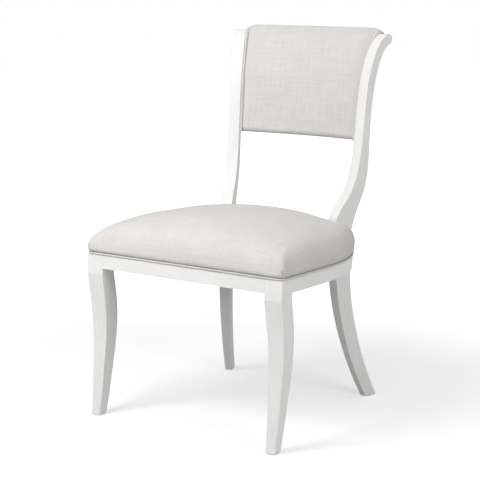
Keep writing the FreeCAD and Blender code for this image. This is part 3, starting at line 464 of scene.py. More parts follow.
def build_cushion():
    grid = coons(*seat_sides(BULGE))
    rows, columns = grid.shape[:2]
    rim = border(rows, columns)
    top, top_cloth, outward, near_post = cushion_top(grid, rim)
    points = [top]
    uvs = [top_cloth]
    faces = grid_faces(rows, columns)
    wall_start = total = len(top)
    count = len(rim)
    previous = rim
    for ring, cloth in cushion_rings(top[rim], outward[rim]):
        points.append(ring)
        uvs.append(cloth)
        current = list(range(total, total + count))
        faces += ring_faces(previous, current)
        previous = current
        total += count
    base_grid = coons(*seat_sides(-BASE_INSET)).reshape(-1, 2)
    keep = dict(zip(rim, previous))
    base_points = []
    for index, (x, y) in enumerate(base_grid):
        if index not in keep:
            keep[index] = total + len(base_points)
            base_points.append((x, y, BASE_HEIGHT))
    base_points = np.array(base_points)
    points.append(base_points)
    uvs.append(base_points[:, :2])
    faces += [tuple(keep[corner] for corner in face[::-1]) for face in grid_faces(rows, columns)]
    everything = np.vstack(points)
    item = mesh_object("seat_cushion", everything, faces, np.vstack(uvs) * MM)
    pinned = list(range(wall_start + count * (len(WALL) - HELD_RINGS), len(everything)))
    pinned += [int(i) for i in np.nonzero(near_post < HELD_BY_POST)[0]]
    inflate(item, pinned, CUSHION_PRESSURE, CUSHION_PUFF)
    pleat(item, rows, columns, wall_start, count)
    subdivide(item, 1)
    return item


def pleat(item, rows, columns, wall_start, count):
    """The sewn corner folds: a groove up each corner, from the welt to the top of the shoulder."""
    data = item.data.vertices
    corners = (0, columns - 1, columns + rows - 2, 2 * columns + rows - 3)
    rim = border(rows, columns)
    for position in corners:
        here = Vector(data[rim[position]].co)
        out = Vector((here.x, here.y - MIDDLE_Y * MM, 0)).normalized()
        for offset, depth in PLEAT.items():
            place = (position + offset) % count
            for level in range(len(WALL) - 1):
                data[wall_start + level * count + place].co += out * (depth * MM)
            data[rim[place]].co += out * (depth * MM)
        at_front = position in corners[:2]
        at_left = position in (corners[0], corners[3])
        for step in range(1, PLEAT_STEPS):
            row = step if at_front else rows - 1 - step
            column = step if at_left else columns - 1 - step
            data[row * columns + column].co.z -= PLEAT_TOP * MM * (1 - step / PLEAT_STEPS)
    item.data.update()


# Cords

BIAS = 0.7071
STEEP = 0.2
CORD_STEP = 6
CORD_RIPPLE_SCALE = 23.0


def tube(name, path, radius, sides=14, closed=False, ripple=0.12, seed=5):
    """A round cord along a path, with cloth laid across it at 45 degrees."""
    path = np.asarray(path, float)
    count = len(path)
    ahead = np.roll(path, -1, axis=0) - np.roll(path, 1, axis=0)
    if not closed:
        ahead[0] = path[1] - path[0]
        ahead[-1] = path[-1] - path[-2]
    ahead /= np.linalg.norm(ahead, axis=1)[:, None]
    up = np.array((0.0, 0.0, 1.0))
    points, uvs = [], []
    lengths = np.concatenate(([0.0], np.cumsum(np.linalg.norm(np.diff(path, axis=0), axis=1))))
    uneven = wave_noise(np.column_stack((lengths, lengths * 0)), CORD_RIPPLE_SCALE, seed) * ripple
    side = np.cross(ahead[0], up)
    if np.linalg.norm(side) < STEEP:
        side = np.cross(ahead[0], np.array((0.0, 1.0, 0.0)))
    for k in range(count):
        side = side - ahead[k] * (side @ ahead[k])
        side /= np.linalg.norm(side)
        other = np.cross(side, ahead[k])
        for j in range(sides + 1):
            turn = 2 * math.pi * j / sides
            ring = radius + uneven[k]
            points.append(path[k] + ring * (side * math.cos(turn) + other * math.sin(turn)))
            u, v = lengths[k], radius * turn
            uvs.append(((u + v) * BIAS, (u - v) * BIAS))
    faces = []
    width = sides + 1
    for k in range(count if closed else count - 1):
        n = (k + 1) % count
        for j in range(sides):
            faces.append((k * width + j, k * width + j + 1, n * width + j + 1, n * width + j))
    if not closed:
        for k, flip in ((0, True), (count - 1, False)):
            centre = len(points)
            points.append(path[k])
            uvs.append((lengths[k] * BIAS, lengths[k] * BIAS))
            for j in range(sides):
                face = (centre, k * width + j, k * width + j + 1)
                faces.append(face[::-1] if flip else face)
    item = mesh_object(name, points, faces, np.array(uvs) * MM)
    weld = item.modifiers.new("weld", "WELD")
    weld.merge_threshold = 0.00001
    return item


def build_seat_welt():
    line = closed_outline(SEAT_CORD_OUT)
    loop = np.vstack((line, line[:1]))
    length = np.linalg.norm(np.diff(loop, axis=0), axis=1).sum()
    ring = along_line(loop, np.linspace(0, 1, int(length / CORD_STEP) + 1))[:-1]
    path = np.column_stack((ring, np.full(len(ring), SEAT_CORD_HEIGHT)))
    return tube("seat_welt_cord", path, SEAT_CORD, closed=True)


# Back pad

PAD_BOTTOM_SHARE = (PAD_BOTTOM - RAIL_TOP) / POST_RISE


def reach_at(table, share):
    """How far back a post's edge lies at a share of its rise."""
    return float(np.interp(share, [pair[0] for pair in table], [pair[1] for pair in table]))


PAD_CORNER = plank_point(reach_at(POST_FRONT, PAD_BOTTOM_SHARE) + PAD_BEHIND_POST, POST_WIDTH)
AXIS_Y = PAD_CORNER[1] - math.sqrt(PAD_RADIUS ** 2 - PAD_CORNER[0] ** 2)


def turned_radius(reach):
    """The distance from the pad's axis to a point on the post's inner face."""
    side = plank_point(reach, POST_WIDTH)
    return math.hypot(side[0], side[1] - AXIS_Y)


def side_turn(radius, aside):
    """The turn about the pad's axis at which a radius meets a plane aside from the post's inner face."""
    start = plank_point(0.0, POST_WIDTH + aside) - np.array((0, AXIS_Y, 0))
    back = np.array((math.sin(POST_TURN), math.cos(POST_TURN), 0))
    along = start @ back
    reach = -along + math.sqrt(along ** 2 - start @ start + radius ** 2)
    point = start + back * reach
    return math.atan2(point[0], point[1])


SHARES = (0.62, 0.712, 0.825, 0.911, 0.967)
ROLL_START = 150
ROLL_END = -40
ROLL_POINTS = 19
EDGE_POINTS = 60
PAD_SOFT_EDGE = 15.0
PAD_HARD_EDGE = 3.0
PAD_ROWS = 104
PAD_SPAN = 370.0
PAD_CLOSE = (0.0, 1.2, 2.8, 4.8, 7.6, 11.5, 16.5, 23.0)
PAD_STEP = 7.5
PAD_CROWN = 4.5
PAD_CROWN_POWER = 2.5
PAD_CROWN_LOW = 45.0
PAD_CROWN_HIGH = 30.0
SEAM_DEPTH = 1.9
SEAM_PLACE = 8.0
SEAM_SOFTNESS = 1.2
SEAM_TURN = 0.9
PAD_UNEVEN = 0.35
PAD_UNEVEN_SCALE = 75.0
HELD_COLUMNS = 4
HELD_BACK = 0.2
HELD_LOW = 5
PAD_PRESSURE = 3.0
PAD_PUFF = 2.5


def pad_profile():
    """The pad's side outline as (radius, height), from the bottom's middle up the front, over and down."""
    def station(table, share, shift):
        return turned_radius(reach_at(table, share)) + shift, RAIL_TOP + share * POST_RISE

    def roll(angle):
        turn = math.radians(angle)
        return (turned_radius(ROLL_REACH + ROLL_RADIUS * math.cos(turn)),
                ROLL_HEIGHT + ROLL_RADIUS * math.sin(turn))

    shares = (PAD_BOTTOM_SHARE,) + SHARES
    ahead = [station(POST_FRONT, share, PAD_BEHIND_POST) for share in shares]
    behind = [station(POST_REAR, share, PAD_PAST_POST) for share in shares[::-1]]
    front = smooth_curve(ahead + [roll(ROLL_START)], EDGE_POINTS)
    top = np.array([roll(angle) for angle in np.linspace(ROLL_START, ROLL_END, ROLL_POINTS)])
    rear = smooth_curve([roll(ROLL_END)] + behind, EDGE_POINTS)
    return front, top, rear


def pad_loop():
    """The whole outline with rounded lower edges, from the bottom's middle, with its top's height."""
    front, top, rear = pad_profile()
    soft, hard = PAD_SOFT_EDGE, PAD_HARD_EDGE
    bottom_front = front[0] + np.array((soft, 0))
    front_part = front[front[:, 1] > PAD_BOTTOM + soft]
    corner = [bottom_front + np.array((-soft * math.sin(t), soft - soft * math.cos(t)))
              for t in np.linspace(0, math.pi / 2, 6)]
    rear_part = rear[rear[:, 1] > PAD_BOTTOM + hard]
    rear_corner = [rear[-1] + np.array((-hard + hard * math.cos(t), hard - hard * math.sin(t)))
                   for t in np.linspace(0, math.pi / 2, 4)]
    middle = (bottom_front + rear_corner[-1]) / 2
    loop = np.vstack((middle[None], corner, front_part, top[1:], rear_part[1:], rear_corner))
    return np.vstack((loop, loop[:1])), top[:, 1].max()


def pad_point(place, normal, u, front_top):
    """A point of the pad and its turn, for a place on the outline and a share u of the half width."""
    radius, height = place
    limit = side_turn(radius, PAD_SIDE_GAP)
    edge = (1 - abs(u)) * limit * radius
    forward = -normal[0]
    low = np.clip((height - PAD_BOTTOM) / PAD_CROWN_LOW, 0, 1)
    high = np.clip((front_top - height) / PAD_CROWN_HIGH, 0, 1)
    crowned = PAD_CROWN * np.clip(forward, 0, 1) * (low * high) * (1 - abs(u) ** PAD_CROWN_POWER)
    seam = -SEAM_DEPTH / (1 + math.exp((edge - SEAM_PLACE) / SEAM_SOFTNESS))
    seam *= np.clip(forward + SEAM_TURN, 0, 1)
    shift = crowned + seam
    rho = radius + normal[0] * shift
    z = height + normal[1] * shift
    near = np.clip((PAD_SHOULDER - edge) / PAD_SHOULDER, 0, 1)
    squash = PAD_SHOULDER_DROP * (1 - math.sqrt(1 - near ** 2))
    z -= squash * np.clip((z - ROLL_HEIGHT + ROLL_RADIUS) / (2 * ROLL_RADIUS), 0, 1)
    turn = u * side_turn(rho, PAD_SIDE_GAP)
    return (rho * math.sin(turn), AXIS_Y + rho * math.cos(turn), z), turn


def build_pad():
    closed, front_top = pad_loop()
    length = np.linalg.norm(np.diff(closed, axis=0), axis=1).sum()
    profile = along_line(closed, np.linspace(0, 1, PAD_ROWS + 1))[:-1]
    half = spread(PAD_SPAN, PAD_CLOSE, PAD_STEP) * 2 - 1
    columns = len(half)
    ahead = np.roll(profile, -1, axis=0) - np.roll(profile, 1, axis=0)
    ahead /= np.linalg.norm(ahead, axis=1)[:, None]
    normal = np.column_stack((-ahead[:, 1], ahead[:, 0]))
    points, uvs = [], []
    for r in range(PAD_ROWS):
        for u in half:
            point, turn = pad_point(profile[r], normal[r], u, front_top)
            points.append(point)
            uvs.append((profile[r, 0] * turn, length * r / PAD_ROWS))
    points = np.array(points)
    facing = np.repeat(np.clip(-normal[:, 0], 0, 1), columns)
    points[:, 1] -= PAD_UNEVEN * wave_noise(points[:, [0, 2]], PAD_UNEVEN_SCALE, 21) * facing
    faces = []
    for r in range(PAD_ROWS):
        n = (r + 1) % PAD_ROWS
        for c in range(columns - 1):
            faces.append((r * columns + c, n * columns + c, n * columns + c + 1, r * columns + c + 1))
    for c, flip in ((0, False), (columns - 1, True)):
        ring = [r * columns + c for r in range(PAD_ROWS)]
        centre = len(points)
        points = np.vstack((points, points[ring].mean(0)[None]))
        uvs.append(tuple(np.mean([uvs[i] for i in ring], axis=0)))
        for r in range(PAD_ROWS):
            face = (centre, ring[(r + 1) % PAD_ROWS], ring[r])
            faces.append(face[::-1] if flip else face)
    item = mesh_object("back_pad", points, faces, np.array(uvs) * MM)
    held = [i for i in range(PAD_ROWS * columns)
            if min(i % columns, columns - 1 - i % columns) < HELD_COLUMNS
            or normal[i // columns, 0] > HELD_BACK or points[i, 2] < PAD_BOTTOM + HELD_LOW]
    held += [PAD_ROWS * columns, PAD_ROWS * columns + 1]
    inflate(item, held, PAD_PRESSURE, PAD_PUFF)
    subdivide(item, 1)
    return item


CORD_ROLL_POINTS = 11
CORD_FLATTENING = 0.8


def build_back_welt(side):
    """The cord beside a post, up the pad's front and over its roll."""
    front, top, _ = pad_profile()
    line = np.vstack((front, top[1:CORD_ROLL_POINTS]))
    line = along_line(line, np.linspace(0, 1, EDGE_POINTS))
    path = []
    low = ROLL_HEIGHT - ROLL_RADIUS
    flatten = 1 - CORD_FLATTENING * PAD_SHOULDER_DROP / (2 * ROLL_RADIUS)
    for radius, height in line:
        if height > low:
            height = low + (height - low) * flatten
        rho = radius - BACK_CORD_PROUD
        turn = side_turn(rho, BACK_CORD_ASIDE)
        path.append((side * rho * math.sin(turn), AXIS_Y + rho * math.cos(turn), height))
    name = "back_welt_cord_right" if side > 0 else "back_welt_cord_left"
    return tube(name, path, BACK_CORD, sides=16, ripple=0.15, seed=9)


PANEL_LOW = PAD_BOTTOM + 2.5
PANEL_HIGH = SCROLL_HEIGHT - 13.5
PANEL_CLOSE = (0.0, 1.5, 3.5, 7.0)
PANEL_WIDTH = 360.0
PANEL_HEIGHT = 230.0
PANEL_PROUD = 1.3
PANEL_SINK = 0.2
PANEL_INSIDE = 1.0
PANEL_EDGE = 2.5
PANEL_SIDE_GAP = 3.5
PANEL_ROW_STEP = 8.0
PANEL_COLUMN_STEP = 9.0
PANEL_UNEVEN = 0.3
PANEL_UNEVEN_SCALE = 90.0


def build_outside_back():
    """The cloth panel on the pad's rear, with a turned-in edge, and its flat width and length."""
    _, _, rear = pad_profile()
    line = rear[(rear[:, 1] > PANEL_LOW) & (rear[:, 1] < PANEL_HIGH)][::-1]
    line = along_line(line, spread(PANEL_HEIGHT, PANEL_CLOSE, PANEL_ROW_STEP))
    half = spread(PANEL_WIDTH, PANEL_CLOSE, PANEL_COLUMN_STEP) * 2 - 1
    rows, columns = len(line), len(half)
    lengths = np.r_[0, np.cumsum(np.linalg.norm(np.diff(line, axis=0), axis=1))]
    points, uvs = [], []
    for layer in (1, 0):
        for r in range(rows):
            radius, height = line[r]
            for u in half:
                edge = min((1 - abs(u)) * PANEL_WIDTH / 2, lengths[r], lengths[-1] - lengths[r])
                outer = PANEL_PROUD * (1 - math.exp(-edge / PANEL_EDGE)) - PANEL_SINK
                rho = radius + (outer if layer else -PANEL_INSIDE)
                turn = u * side_turn(rho, PANEL_SIDE_GAP)
                points.append((rho * math.sin(turn), AXIS_Y + rho * math.cos(turn), height))
                uvs.append((radius * turn, lengths[r]))
    points = np.array(points)
    size = rows * columns
    points[:size, 1] += PANEL_UNEVEN * wave_noise(points[:size][:, [0, 2]], PANEL_UNEVEN_SCALE, 31)
    faces = grid_faces(rows, columns, 0, flip=True) + grid_faces(rows, columns, size)
    ring = border(rows, columns)
    for k in range(len(ring)):
        a, b = ring[k], ring[(k + 1) % len(ring)]
        faces.append((a, b, b + size, a + size))
    item = mesh_object("outside_back_cloth", points, faces, np.array(uvs) * MM)
    middle = rows // 2 * columns
    across = np.linalg.norm(np.diff(points[middle:middle + columns], axis=0), axis=1).sum()
    subdivide(item, 1)
    return item, (across * MM, lengths[-1] * MM)


# Materials

WHITE = (1.0, 1.0, 1.0)


class Nodes:
    """A small builder for node materials."""

    def __init__(self, name):
        self.material = bpy.data.materials.new(name)
        self.material.use_nodes = True
        self.tree = self.material.node_tree
        self.tree.nodes.clear()
        self.output = self.add("ShaderNodeOutputMaterial")
        self.shader = self.add("ShaderNodeBsdfPrincipled")
        self.link(self.shader.outputs["BSDF"], self.output.inputs["Surface"])

    def add(self, kind, **values):
        node = self.tree.nodes.new(kind)
        for key, value in values.items():
            setattr(node, key, value)
        return node

    def link(self, source, target):
        self.tree.links.new(source, target)

    def value(self, target, value):
        if isinstance(value, bpy.types.NodeSocket):
            self.link(value, target)
        else:
            target.default_value = value

    def math(self, operation, a, b=0.0, c=0.0):
        node = self.add("ShaderNodeMath", operation=operation)
        for socket, value in zip(node.inputs, (a, b, c)):
            self.value(socket, value)
        return node.outputs[0]

    def mapping(self, source, scale):
        node = self.add("ShaderNodeMapping")
        self.link(source, node.inputs["Vector"])
        node.inputs["Scale"].default_value = scale
        return node.outputs["Vector"]

    def noise(self, vector, scale, detail=2.0, roughness=0.5):
        node = self.add("ShaderNodeTexNoise")
        self.link(vector, node.inputs["Vector"])
        node.inputs["Scale"].default_value = scale
        node.inputs["Detail"].default_value = detail
        node.inputs["Roughness"].default_value = roughness
        return node.outputs["Fac"]

    def ramp(self, source, stops):
        node = self.add("ShaderNodeValToRGB")
        self.link(source, node.inputs["Fac"])
        elements = node.color_ramp.elements
        while len(elements) < len(stops):
            elements.new(0.5)
        for element, (place, colour) in zip(elements, stops):
            element.position = place
            element.color = (*colour, 1) if not isinstance(colour, float) else (colour, colour, colour, 1)
        return node.outputs["Color"]

    def mix(self, share, a, b, blend="MIX"):
        node = self.add("ShaderNodeMix", data_type="RGBA", blend_type=blend)
        self.value(node.inputs[0], share)
        for socket, value in ((node.inputs[6], a), (node.inputs[7], b)):
            if isinstance(value, bpy.types.NodeSocket):
                self.link(value, socket)
            else:
                socket.default_value = (*value, 1)
        return node.outputs[2]

    def crease_shade_and_grime(self, tone, reach, colour, amount):
        """Paints shade into a colour in creases and joints narrower than a reach, where ambient occlusion
        finds them, with a warm tint that also stands for grime in the joints.
        """
        node = self.add("ShaderNodeAmbientOcclusion", samples=6)
        node.inputs["Distance"].default_value = reach
        # Painted shade: the more occluded a point is, the more its colour is darkened toward the tint.
        crease = self.ramp(node.outputs["AO"], ((0.2, amount), (0.78, 0.0)))
        return self.mix(crease, tone, colour, "MULTIPLY")

    def stain(self, share, tone, source, stops):
        """Multiplies a colour by a ramp over a texture."""
        return self.mix(share, tone, self.ramp(source, stops), "MULTIPLY")

    def bump(self, height, distance, strength):
        node = self.add("ShaderNodeBump")
        self.link(height, node.inputs["Height"])
        node.inputs["Distance"].default_value = distance
        node.inputs["Strength"].default_value = strength
        self.link(node.outputs["Normal"], self.shader.inputs["Normal"])


def painted_wood(name, stretch):
    """Chalky white paint over wood. stretch lists how tightly the brush marks lie along each axis."""
    n = Nodes(name)
    place = n.add("ShaderNodeTexCoord").outputs["Object"]
    brush = n.noise(n.mapping(place, stretch), 1.0, 4.0, 0.6)
    grain = n.noise(n.mapping(place, tuple(3.2 * value for value in stretch)), 1.0, 3.0, 0.65)
    cloud = n.noise(place, 9.0, 3.0, 0.5)
    tone = n.ramp(cloud, ((0.3, (0.865, 0.862, 0.852)), (0.7, (0.90, 0.90, 0.895))))
    tone = n.stain(0.22, tone, brush, ((0.35, (0.84, 0.835, 0.825)), (0.65, WHITE)))
    tone = n.stain(0.14, tone, grain, ((0.38, (0.76, 0.74, 0.70)), (0.52, WHITE)))
    soft = n.add("ShaderNodeBevel", samples=4)
    soft.inputs["Radius"].default_value = 0.0022
    geometry = n.add("ShaderNodeNewGeometry")
    turned = n.add("ShaderNodeVectorMath", operation="DOT_PRODUCT")
    n.link(soft.outputs["Normal"], turned.inputs[0])
    n.link(geometry.outputs["Normal"], turned.inputs[1])
    edge = n.math("SUBTRACT", 1.0, turned.outputs["Value"])
    patches = n.noise(place, 38.0, 4.0, 0.7)
    worn = n.math("MULTIPLY", edge, n.ramp(patches, ((0.5, 0.0), (0.68, 1.0))))
    worn = n.math("MINIMUM", n.math("MULTIPLY", worn, 3.5), 0.55)
    tone = n.mix(worn, tone, (0.50, 0.42, 0.33))
    # Painted shade in joints and creases, darkened toward warm brown where occlusion falls; the tint also
    # stands for dirt in the joints.
    tone = n.crease_shade_and_grime(tone, 0.006, (0.62, 0.56, 0.49), 0.85)
    n.link(tone, n.shader.inputs["Base Color"])
    n.link(n.ramp(brush, ((0.3, 0.50), (0.7, 0.66))), n.shader.inputs["Roughness"])
    height = n.math("ADD", n.math("MULTIPLY", brush, 0.7), n.math("MULTIPLY", grain, 0.3))
    n.bump(height, 0.0004, 0.5)
    n.shader.inputs["Specular IOR Level"].default_value = 0.35
    return n.material


THREAD = 0.00085


def linen(name):
    """A plain weave with slubs both ways. Coordinates are metres of cloth."""
    n = Nodes(name)
    cloth = n.add("ShaderNodeUVMap", uv_map="cloth").outputs["UV"]
    parts = n.add("ShaderNodeSeparateXYZ")
    wobble = n.noise(cloth, 260.0, 2.0)
    n.link(cloth, parts.inputs["Vector"])
    shifted = n.math("MULTIPLY", n.math("SUBTRACT", wobble, 0.5), 0.0005)
    warp = n.math("SINE", n.math("MULTIPLY", n.math("ADD", parts.outputs["X"], shifted), math.pi / THREAD))
    weft = n.math("SINE", n.math("MULTIPLY", n.math("ADD", parts.outputs["Y"], shifted), math.pi / THREAD))
    weave = n.math("MULTIPLY_ADD", n.math("MULTIPLY", warp, weft), 0.5, 0.5)
    slub_a = n.noise(n.mapping(cloth, (18.0, 620.0, 1.0)), 1.0, 3.0, 0.6)
    slub_b = n.noise(n.mapping(cloth, (620.0, 18.0, 1.0)), 1.0, 3.0, 0.6)
    broad_a = n.noise(n.mapping(cloth, (6.0, 170.0, 1.0)), 1.0, 2.0, 0.5)
    broad_b = n.noise(n.mapping(cloth, (170.0, 6.0, 1.0)), 1.0, 2.0, 0.5)
    patch = n.noise(cloth, 14.0, 3.0, 0.5)
    base = n.ramp(patch, ((0.3, (0.695, 0.677, 0.658)), (0.7, (0.722, 0.710, 0.696))))
    for source, low, high, amount in ((slub_a, 0.36, 0.64, 0.28), (slub_b, 0.36, 0.64, 0.28),
                                      (broad_a, 0.35, 0.65, 0.12), (broad_b, 0.35, 0.65, 0.12)):
        base = n.stain(amount, base, source, ((low, (0.80, 0.785, 0.76)), (high, (1.08, 1.08, 1.08))))
    base = n.stain(0.30, base, weave, ((0.0, (0.78, 0.77, 0.75)), (0.6, (1.05, 1.05, 1.05))))
    # Painted shade in seams and creases, darkened toward warm brown where occlusion falls.
    base = n.crease_shade_and_grime(base, 0.004, (0.74, 0.66, 0.60), 0.45)
    n.link(base, n.shader.inputs["Base Color"])
    n.shader.inputs["Roughness"].default_value = 0.92
    n.shader.inputs["Specular IOR Level"].default_value = 0.15
    n.shader.inputs["Sheen Weight"].default_value = 0.25
    n.shader.inputs["Sheen Roughness"].default_value = 0.5
    height = n.math("ADD", n.math("MULTIPLY", weave, 0.35),
                    n.math("ADD", n.math("MULTIPLY", slub_a, 0.5), n.math("MULTIPLY", slub_b, 0.5)))
    n.bump(height, 0.0007, 0.6)
    return n.material


def bare_wood(name, light, dark, scale):
    """Unfinished wood. scale lists how tightly the grain lies along each axis."""
    n = Nodes(name)
    place = n.add("ShaderNodeTexCoord").outputs["Object"]
    rings = n.noise(n.mapping(place, scale), 1.0, 5.0, 0.65)
    pores = n.noise(n.mapping(place, tuple(4 * value for value in scale)), 1.0, 2.0, 0.5)
    tone = n.ramp(rings, ((0.3, dark), (0.7, light)))
    tone = n.stain(0.3, tone, pores, ((0.35, (0.6, 0.55, 0.5)), (0.5, WHITE)))
    n.link(tone, n.shader.inputs["Base Color"])
    n.link(n.ramp(rings, ((0.3, 0.62), (0.7, 0.5))), n.shader.inputs["Roughness"])
    n.bump(pores, 0.0003, 0.5)
    return n.material


def plain(name, colour, roughness, metallic=0.0, grit=500.0, depth=0.0001):
    """A plain finish with fine grit in its colour, roughness and bump."""
    n = Nodes(name)
    place = n.add("ShaderNodeTexCoord").outputs["Object"]
    fine = n.noise(place, grit, 3.0, 0.6)
    low = tuple(0.82 * value for value in colour)
    n.link(n.ramp(fine, ((0.3, low), (0.7, colour))), n.shader.inputs["Base Color"])
    n.link(n.ramp(fine, ((0.3, roughness - 0.06), (0.7, roughness + 0.06))), n.shader.inputs["Roughness"])
    n.shader.inputs["Metallic"].default_value = metallic
    n.bump(fine, depth, 0.4)
    return n.material


paint_upright = painted_wood("paint_upright", (150.0, 150.0, 9.0))
paint_across = painted_wood("paint_across", (9.0, 150.0, 150.0))
paint_along = painted_wood("paint_along", (150.0, 9.0, 150.0))
fabric = linen("linen")
SLOT_MATERIALS = {
    "beech": bare_wood("beech", (0.62, 0.44, 0.27), (0.48, 0.32, 0.18), (60.0, 6.0, 60.0)),
    "plywood": bare_wood("plywood", (0.64, 0.50, 0.33), (0.50, 0.37, 0.22), (14.0, 90.0, 400.0)),
    "screw_steel": plain("screw_steel", (0.58, 0.57, 0.54), 0.38, 1.0),
    "glide_nylon": plain("glide_nylon", (0.045, 0.035, 0.028), 0.55),
    "lining": plain("lining", (0.03, 0.03, 0.032), 0.9, 0.0, 900.0, 0.0004),
    "foam": plain("foam", (0.72, 0.66, 0.44), 0.95, 0.0, 700.0, 0.0008),
    "wadding": plain("wadding", (0.80, 0.80, 0.78), 0.95, 0.0, 500.0, 0.001),
    "woven_fabric": fabric,
}
PAINT = {"front_rail": paint_across, "rear_rail": paint_across}
for side in ("right", "left"):
    PAINT["side_rail_" + side] = paint_along
    PAINT["rear_corner_rail_" + side] = paint_along
WELD_REACH = 0.00002
LEG_EASE = 0.0016
RAIL_EASE = 0.0011


def dress(item, material):
    item.data.materials.clear()
    item.data.materials.append(material)


def ease_edges(item, width):
    """Rounds a wooden piece's edges."""
    weld = item.modifiers.new("weld", "WELD")
    weld.merge_threshold = WELD_REACH
    ease = item.modifiers.new("ease", "BEVEL")
    ease.limit_method = "ANGLE"
    ease.angle_limit = math.radians(40)
    ease.width = width
    ease.segments = 3
    ease.use_clamp_overlap = True
    ease.harden_normals = False


for entry in frame["record"]["subparts"]:
    node = entry["node"]
    slot = entry["material_slot"]
    item = frame["nodes"][node]
    if slot == "painted_wood":
        dress(item, PAINT.get(node, paint_upright))
        ease_edges(item, LEG_EASE if "leg" in node else RAIL_EASE)
    else:
        dress(item, SLOT_MATERIALS[slot])


# Soft pieces

cushion = build_cushion()
pad = build_pad()
seat_welt = build_seat_welt()
welt_right = build_back_welt(1)
welt_left = build_back_welt(-1)
outside_back, back_panel_flat = build_outside_back()
for piece, nodes in ((cushion, ("seat_cover", "seat_wadding", "seat_foam")),
                     (pad, ("back_cover", "back_foam", "back_top_rail")),
                     (seat_welt, ("seat_welt",)), (welt_right, ("back_welt_right",)),
                     (welt_left, ("back_welt_left",)), (outside_back, ("outside_back",))):
    dress(piece, fabric)
    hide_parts(*nodes)
    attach(piece, "root")


# Floor, light and camera

def white_for_camera(tree):
    """One for rays from the camera and for mirror and glass rays, and zero for the rest."""
    path = tree.nodes.new("ShaderNodeLightPath")
    seen = path.outputs["Is Camera Ray"]
    for name in ("Is Glossy Ray", "Is Transmission Ray"):
        either = tree.nodes.new("ShaderNodeMath")
        either.operation = "MAXIMUM"
        tree.links.new(seen, either.inputs[0])
        tree.links.new(path.outputs[name], either.inputs[1])
        seen = either.outputs[0]
    return seen


def map_range(tree, source, low, high, start=0.0, end=1.0, kind="LINEAR"):
    node = tree.nodes.new("ShaderNodeMapRange")
    node.interpolation_type = kind
    for name, value in (("From Min", start), ("From Max", end), ("To Min", low), ("To Max", high)):
        node.inputs[name].default_value = value
    tree.links.new(source, node.inputs["Value"])
    return node.outputs["Result"]


SPAN = 14.0
FLOOR_LIFT = 0.38
LIFT_START = 0.7
LIFT_END = 2.2
FLOOR_BOUNCE = 0.66
FLOOR_SEEN = 0.86


def build_floor():
    mesh = bpy.data.meshes.new("floor")
    corners = [(x, y, 0) for x, y in ((-SPAN, -SPAN), (SPAN, -SPAN), (SPAN, SPAN), (-SPAN, SPAN))]
    mesh.from_pydata(corners, [], [(0, 1, 2, 3)])
    item = bpy.data.objects.new("floor", mesh)
    SCENE.collection.objects.link(item)
    return item


def floor_look():
    """A pale floor that keeps the chair's shadow and rises to white away from it."""
    look = bpy.data.materials.new("floor_look")
    look.use_nodes = True
    tree = look.node_tree
    tree.nodes.clear()
    surface = tree.nodes.new("ShaderNodeOutputMaterial")
    diffuse = tree.nodes.new("ShaderNodeBsdfDiffuse")
    glow = tree.nodes.new("ShaderNodeEmission")
    both = tree.nodes.new("ShaderNodeAddShader")
    seen = white_for_camera(tree)
    spot = tree.nodes.new("ShaderNodeTexCoord")
    away = tree.nodes.new("ShaderNodeVectorMath")
    away.operation = "LENGTH"
    tree.links.new(spot.outputs["Object"], away.inputs[0])
    fade = map_range(tree, away.outputs["Value"], FLOOR_LIFT, 1.0, LIFT_START, LIFT_END, "SMOOTHSTEP")
    lift = tree.nodes.new("ShaderNodeMath")
    lift.operation = "MULTIPLY"
    tree.links.new(seen, lift.inputs[0])
    tree.links.new(fade, lift.inputs[1])
    tree.links.new(lift.outputs[0], glow.inputs["Strength"])
    tree.links.new(map_range(tree, seen, FLOOR_BOUNCE, FLOOR_SEEN), diffuse.inputs["Color"])
    tree.links.new(diffuse.outputs[0], both.inputs[0])
    tree.links.new(glow.outputs[0], both.inputs[1])
    tree.links.new(both.outputs[0], surface.inputs["Surface"])
    return look


floor = build_floor()
dress(floor, floor_look())

SKY_LOW = 0.26
SKY_HIGH = 0.45
SKY_FULL = 0.8


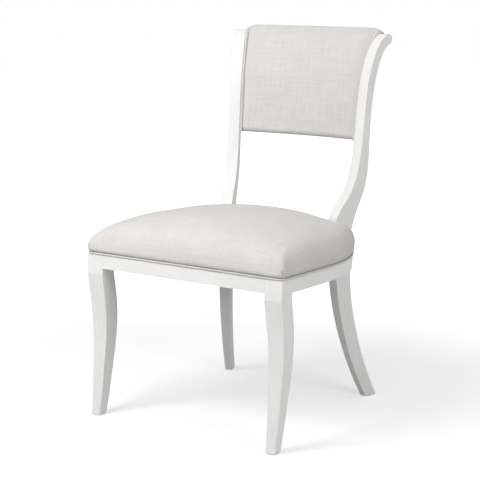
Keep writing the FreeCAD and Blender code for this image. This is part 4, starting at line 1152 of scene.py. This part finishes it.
def studio_world():
    """Soft light that grows from the horizon up. The camera sees it as plain white."""
    world = bpy.data.worlds.new("studio")
    world.use_nodes = True
    tree = world.node_tree
    tree.nodes.clear()
    surface = tree.nodes.new("ShaderNodeOutputWorld")
    choose = tree.nodes.new("ShaderNodeMixShader")
    ambient = tree.nodes.new("ShaderNodeBackground")
    clear = tree.nodes.new("ShaderNodeBackground")
    for light in (ambient, clear):
        light.inputs["Color"].default_value = (1, 1, 1, 1)
    clear.inputs["Strength"].default_value = 1.0
    sky = tree.nodes.new("ShaderNodeTexCoord")
    height = tree.nodes.new("ShaderNodeSeparateXYZ")
    tree.links.new(sky.outputs["Generated"], height.inputs["Vector"])
    strength = map_range(tree, height.outputs["Z"], SKY_LOW, SKY_HIGH, 0.0, SKY_FULL)
    tree.links.new(strength, ambient.inputs["Strength"])
    tree.links.new(white_for_camera(tree), choose.inputs["Fac"])
    tree.links.new(ambient.outputs[0], choose.inputs[1])
    tree.links.new(clear.outputs[0], choose.inputs[2])
    tree.links.new(choose.outputs[0], surface.inputs["Surface"])
    return world


SCENE.world = studio_world()


def softbox(name, place, target, size, power):
    """A square lamp that faces a target."""
    lamp = bpy.data.lights.new(name, "AREA")
    lamp.shape = "RECTANGLE"
    lamp.size = size
    lamp.size_y = size
    lamp.energy = power
    item = bpy.data.objects.new(name, lamp)
    item.location = place
    item.rotation_euler = (Vector(target) - Vector(place)).to_track_quat("-Z", "Y").to_euler()
    SCENE.collection.objects.link(item)


softbox("key", (-0.5, -1.45, 1.6), (0, 0.15, 1.05), 0.9, 24)
softbox("fill", (2.5, -1.0, 1.7), (0, 0.1, 0.7), 1.4, 23)
softbox("top", (0.1, 0.2, 3.0), (0, 0, 0.4), 2.2, 4)

CAMERA_PLACE = Vector((1.6633, -2.7674, 0.9816))
YAW, PITCH, ROLL = (math.radians(value) for value in (31.5447, 9.6860, 1.5))
FOCAL_PIXELS = 1287.13
PICTURE_PIXELS = 480
SENSOR = 36.0


def build_camera():
    """The photo's camera, turned by its yaw, pitch and roll."""
    ahead = Vector((-math.sin(YAW) * math.cos(PITCH), math.cos(YAW) * math.cos(PITCH), -math.sin(PITCH)))
    level = Vector((math.cos(YAW), math.sin(YAW), 0))
    rise = level.cross(ahead)
    right = level * math.cos(ROLL) + rise * math.sin(ROLL)
    up = rise * math.cos(ROLL) - level * math.sin(ROLL)
    lens = bpy.data.cameras.new("camera")
    lens.sensor_width = SENSOR
    lens.lens = FOCAL_PIXELS / PICTURE_PIXELS * SENSOR
    camera = bpy.data.objects.new("camera", lens)
    turned = Matrix((right, up, -ahead)).transposed().to_4x4()
    camera.matrix_world = Matrix.Translation(CAMERA_PLACE) @ turned
    SCENE.collection.objects.link(camera)
    return camera


SCENE.camera = build_camera()
SCENE.view_settings.view_transform = "Standard"
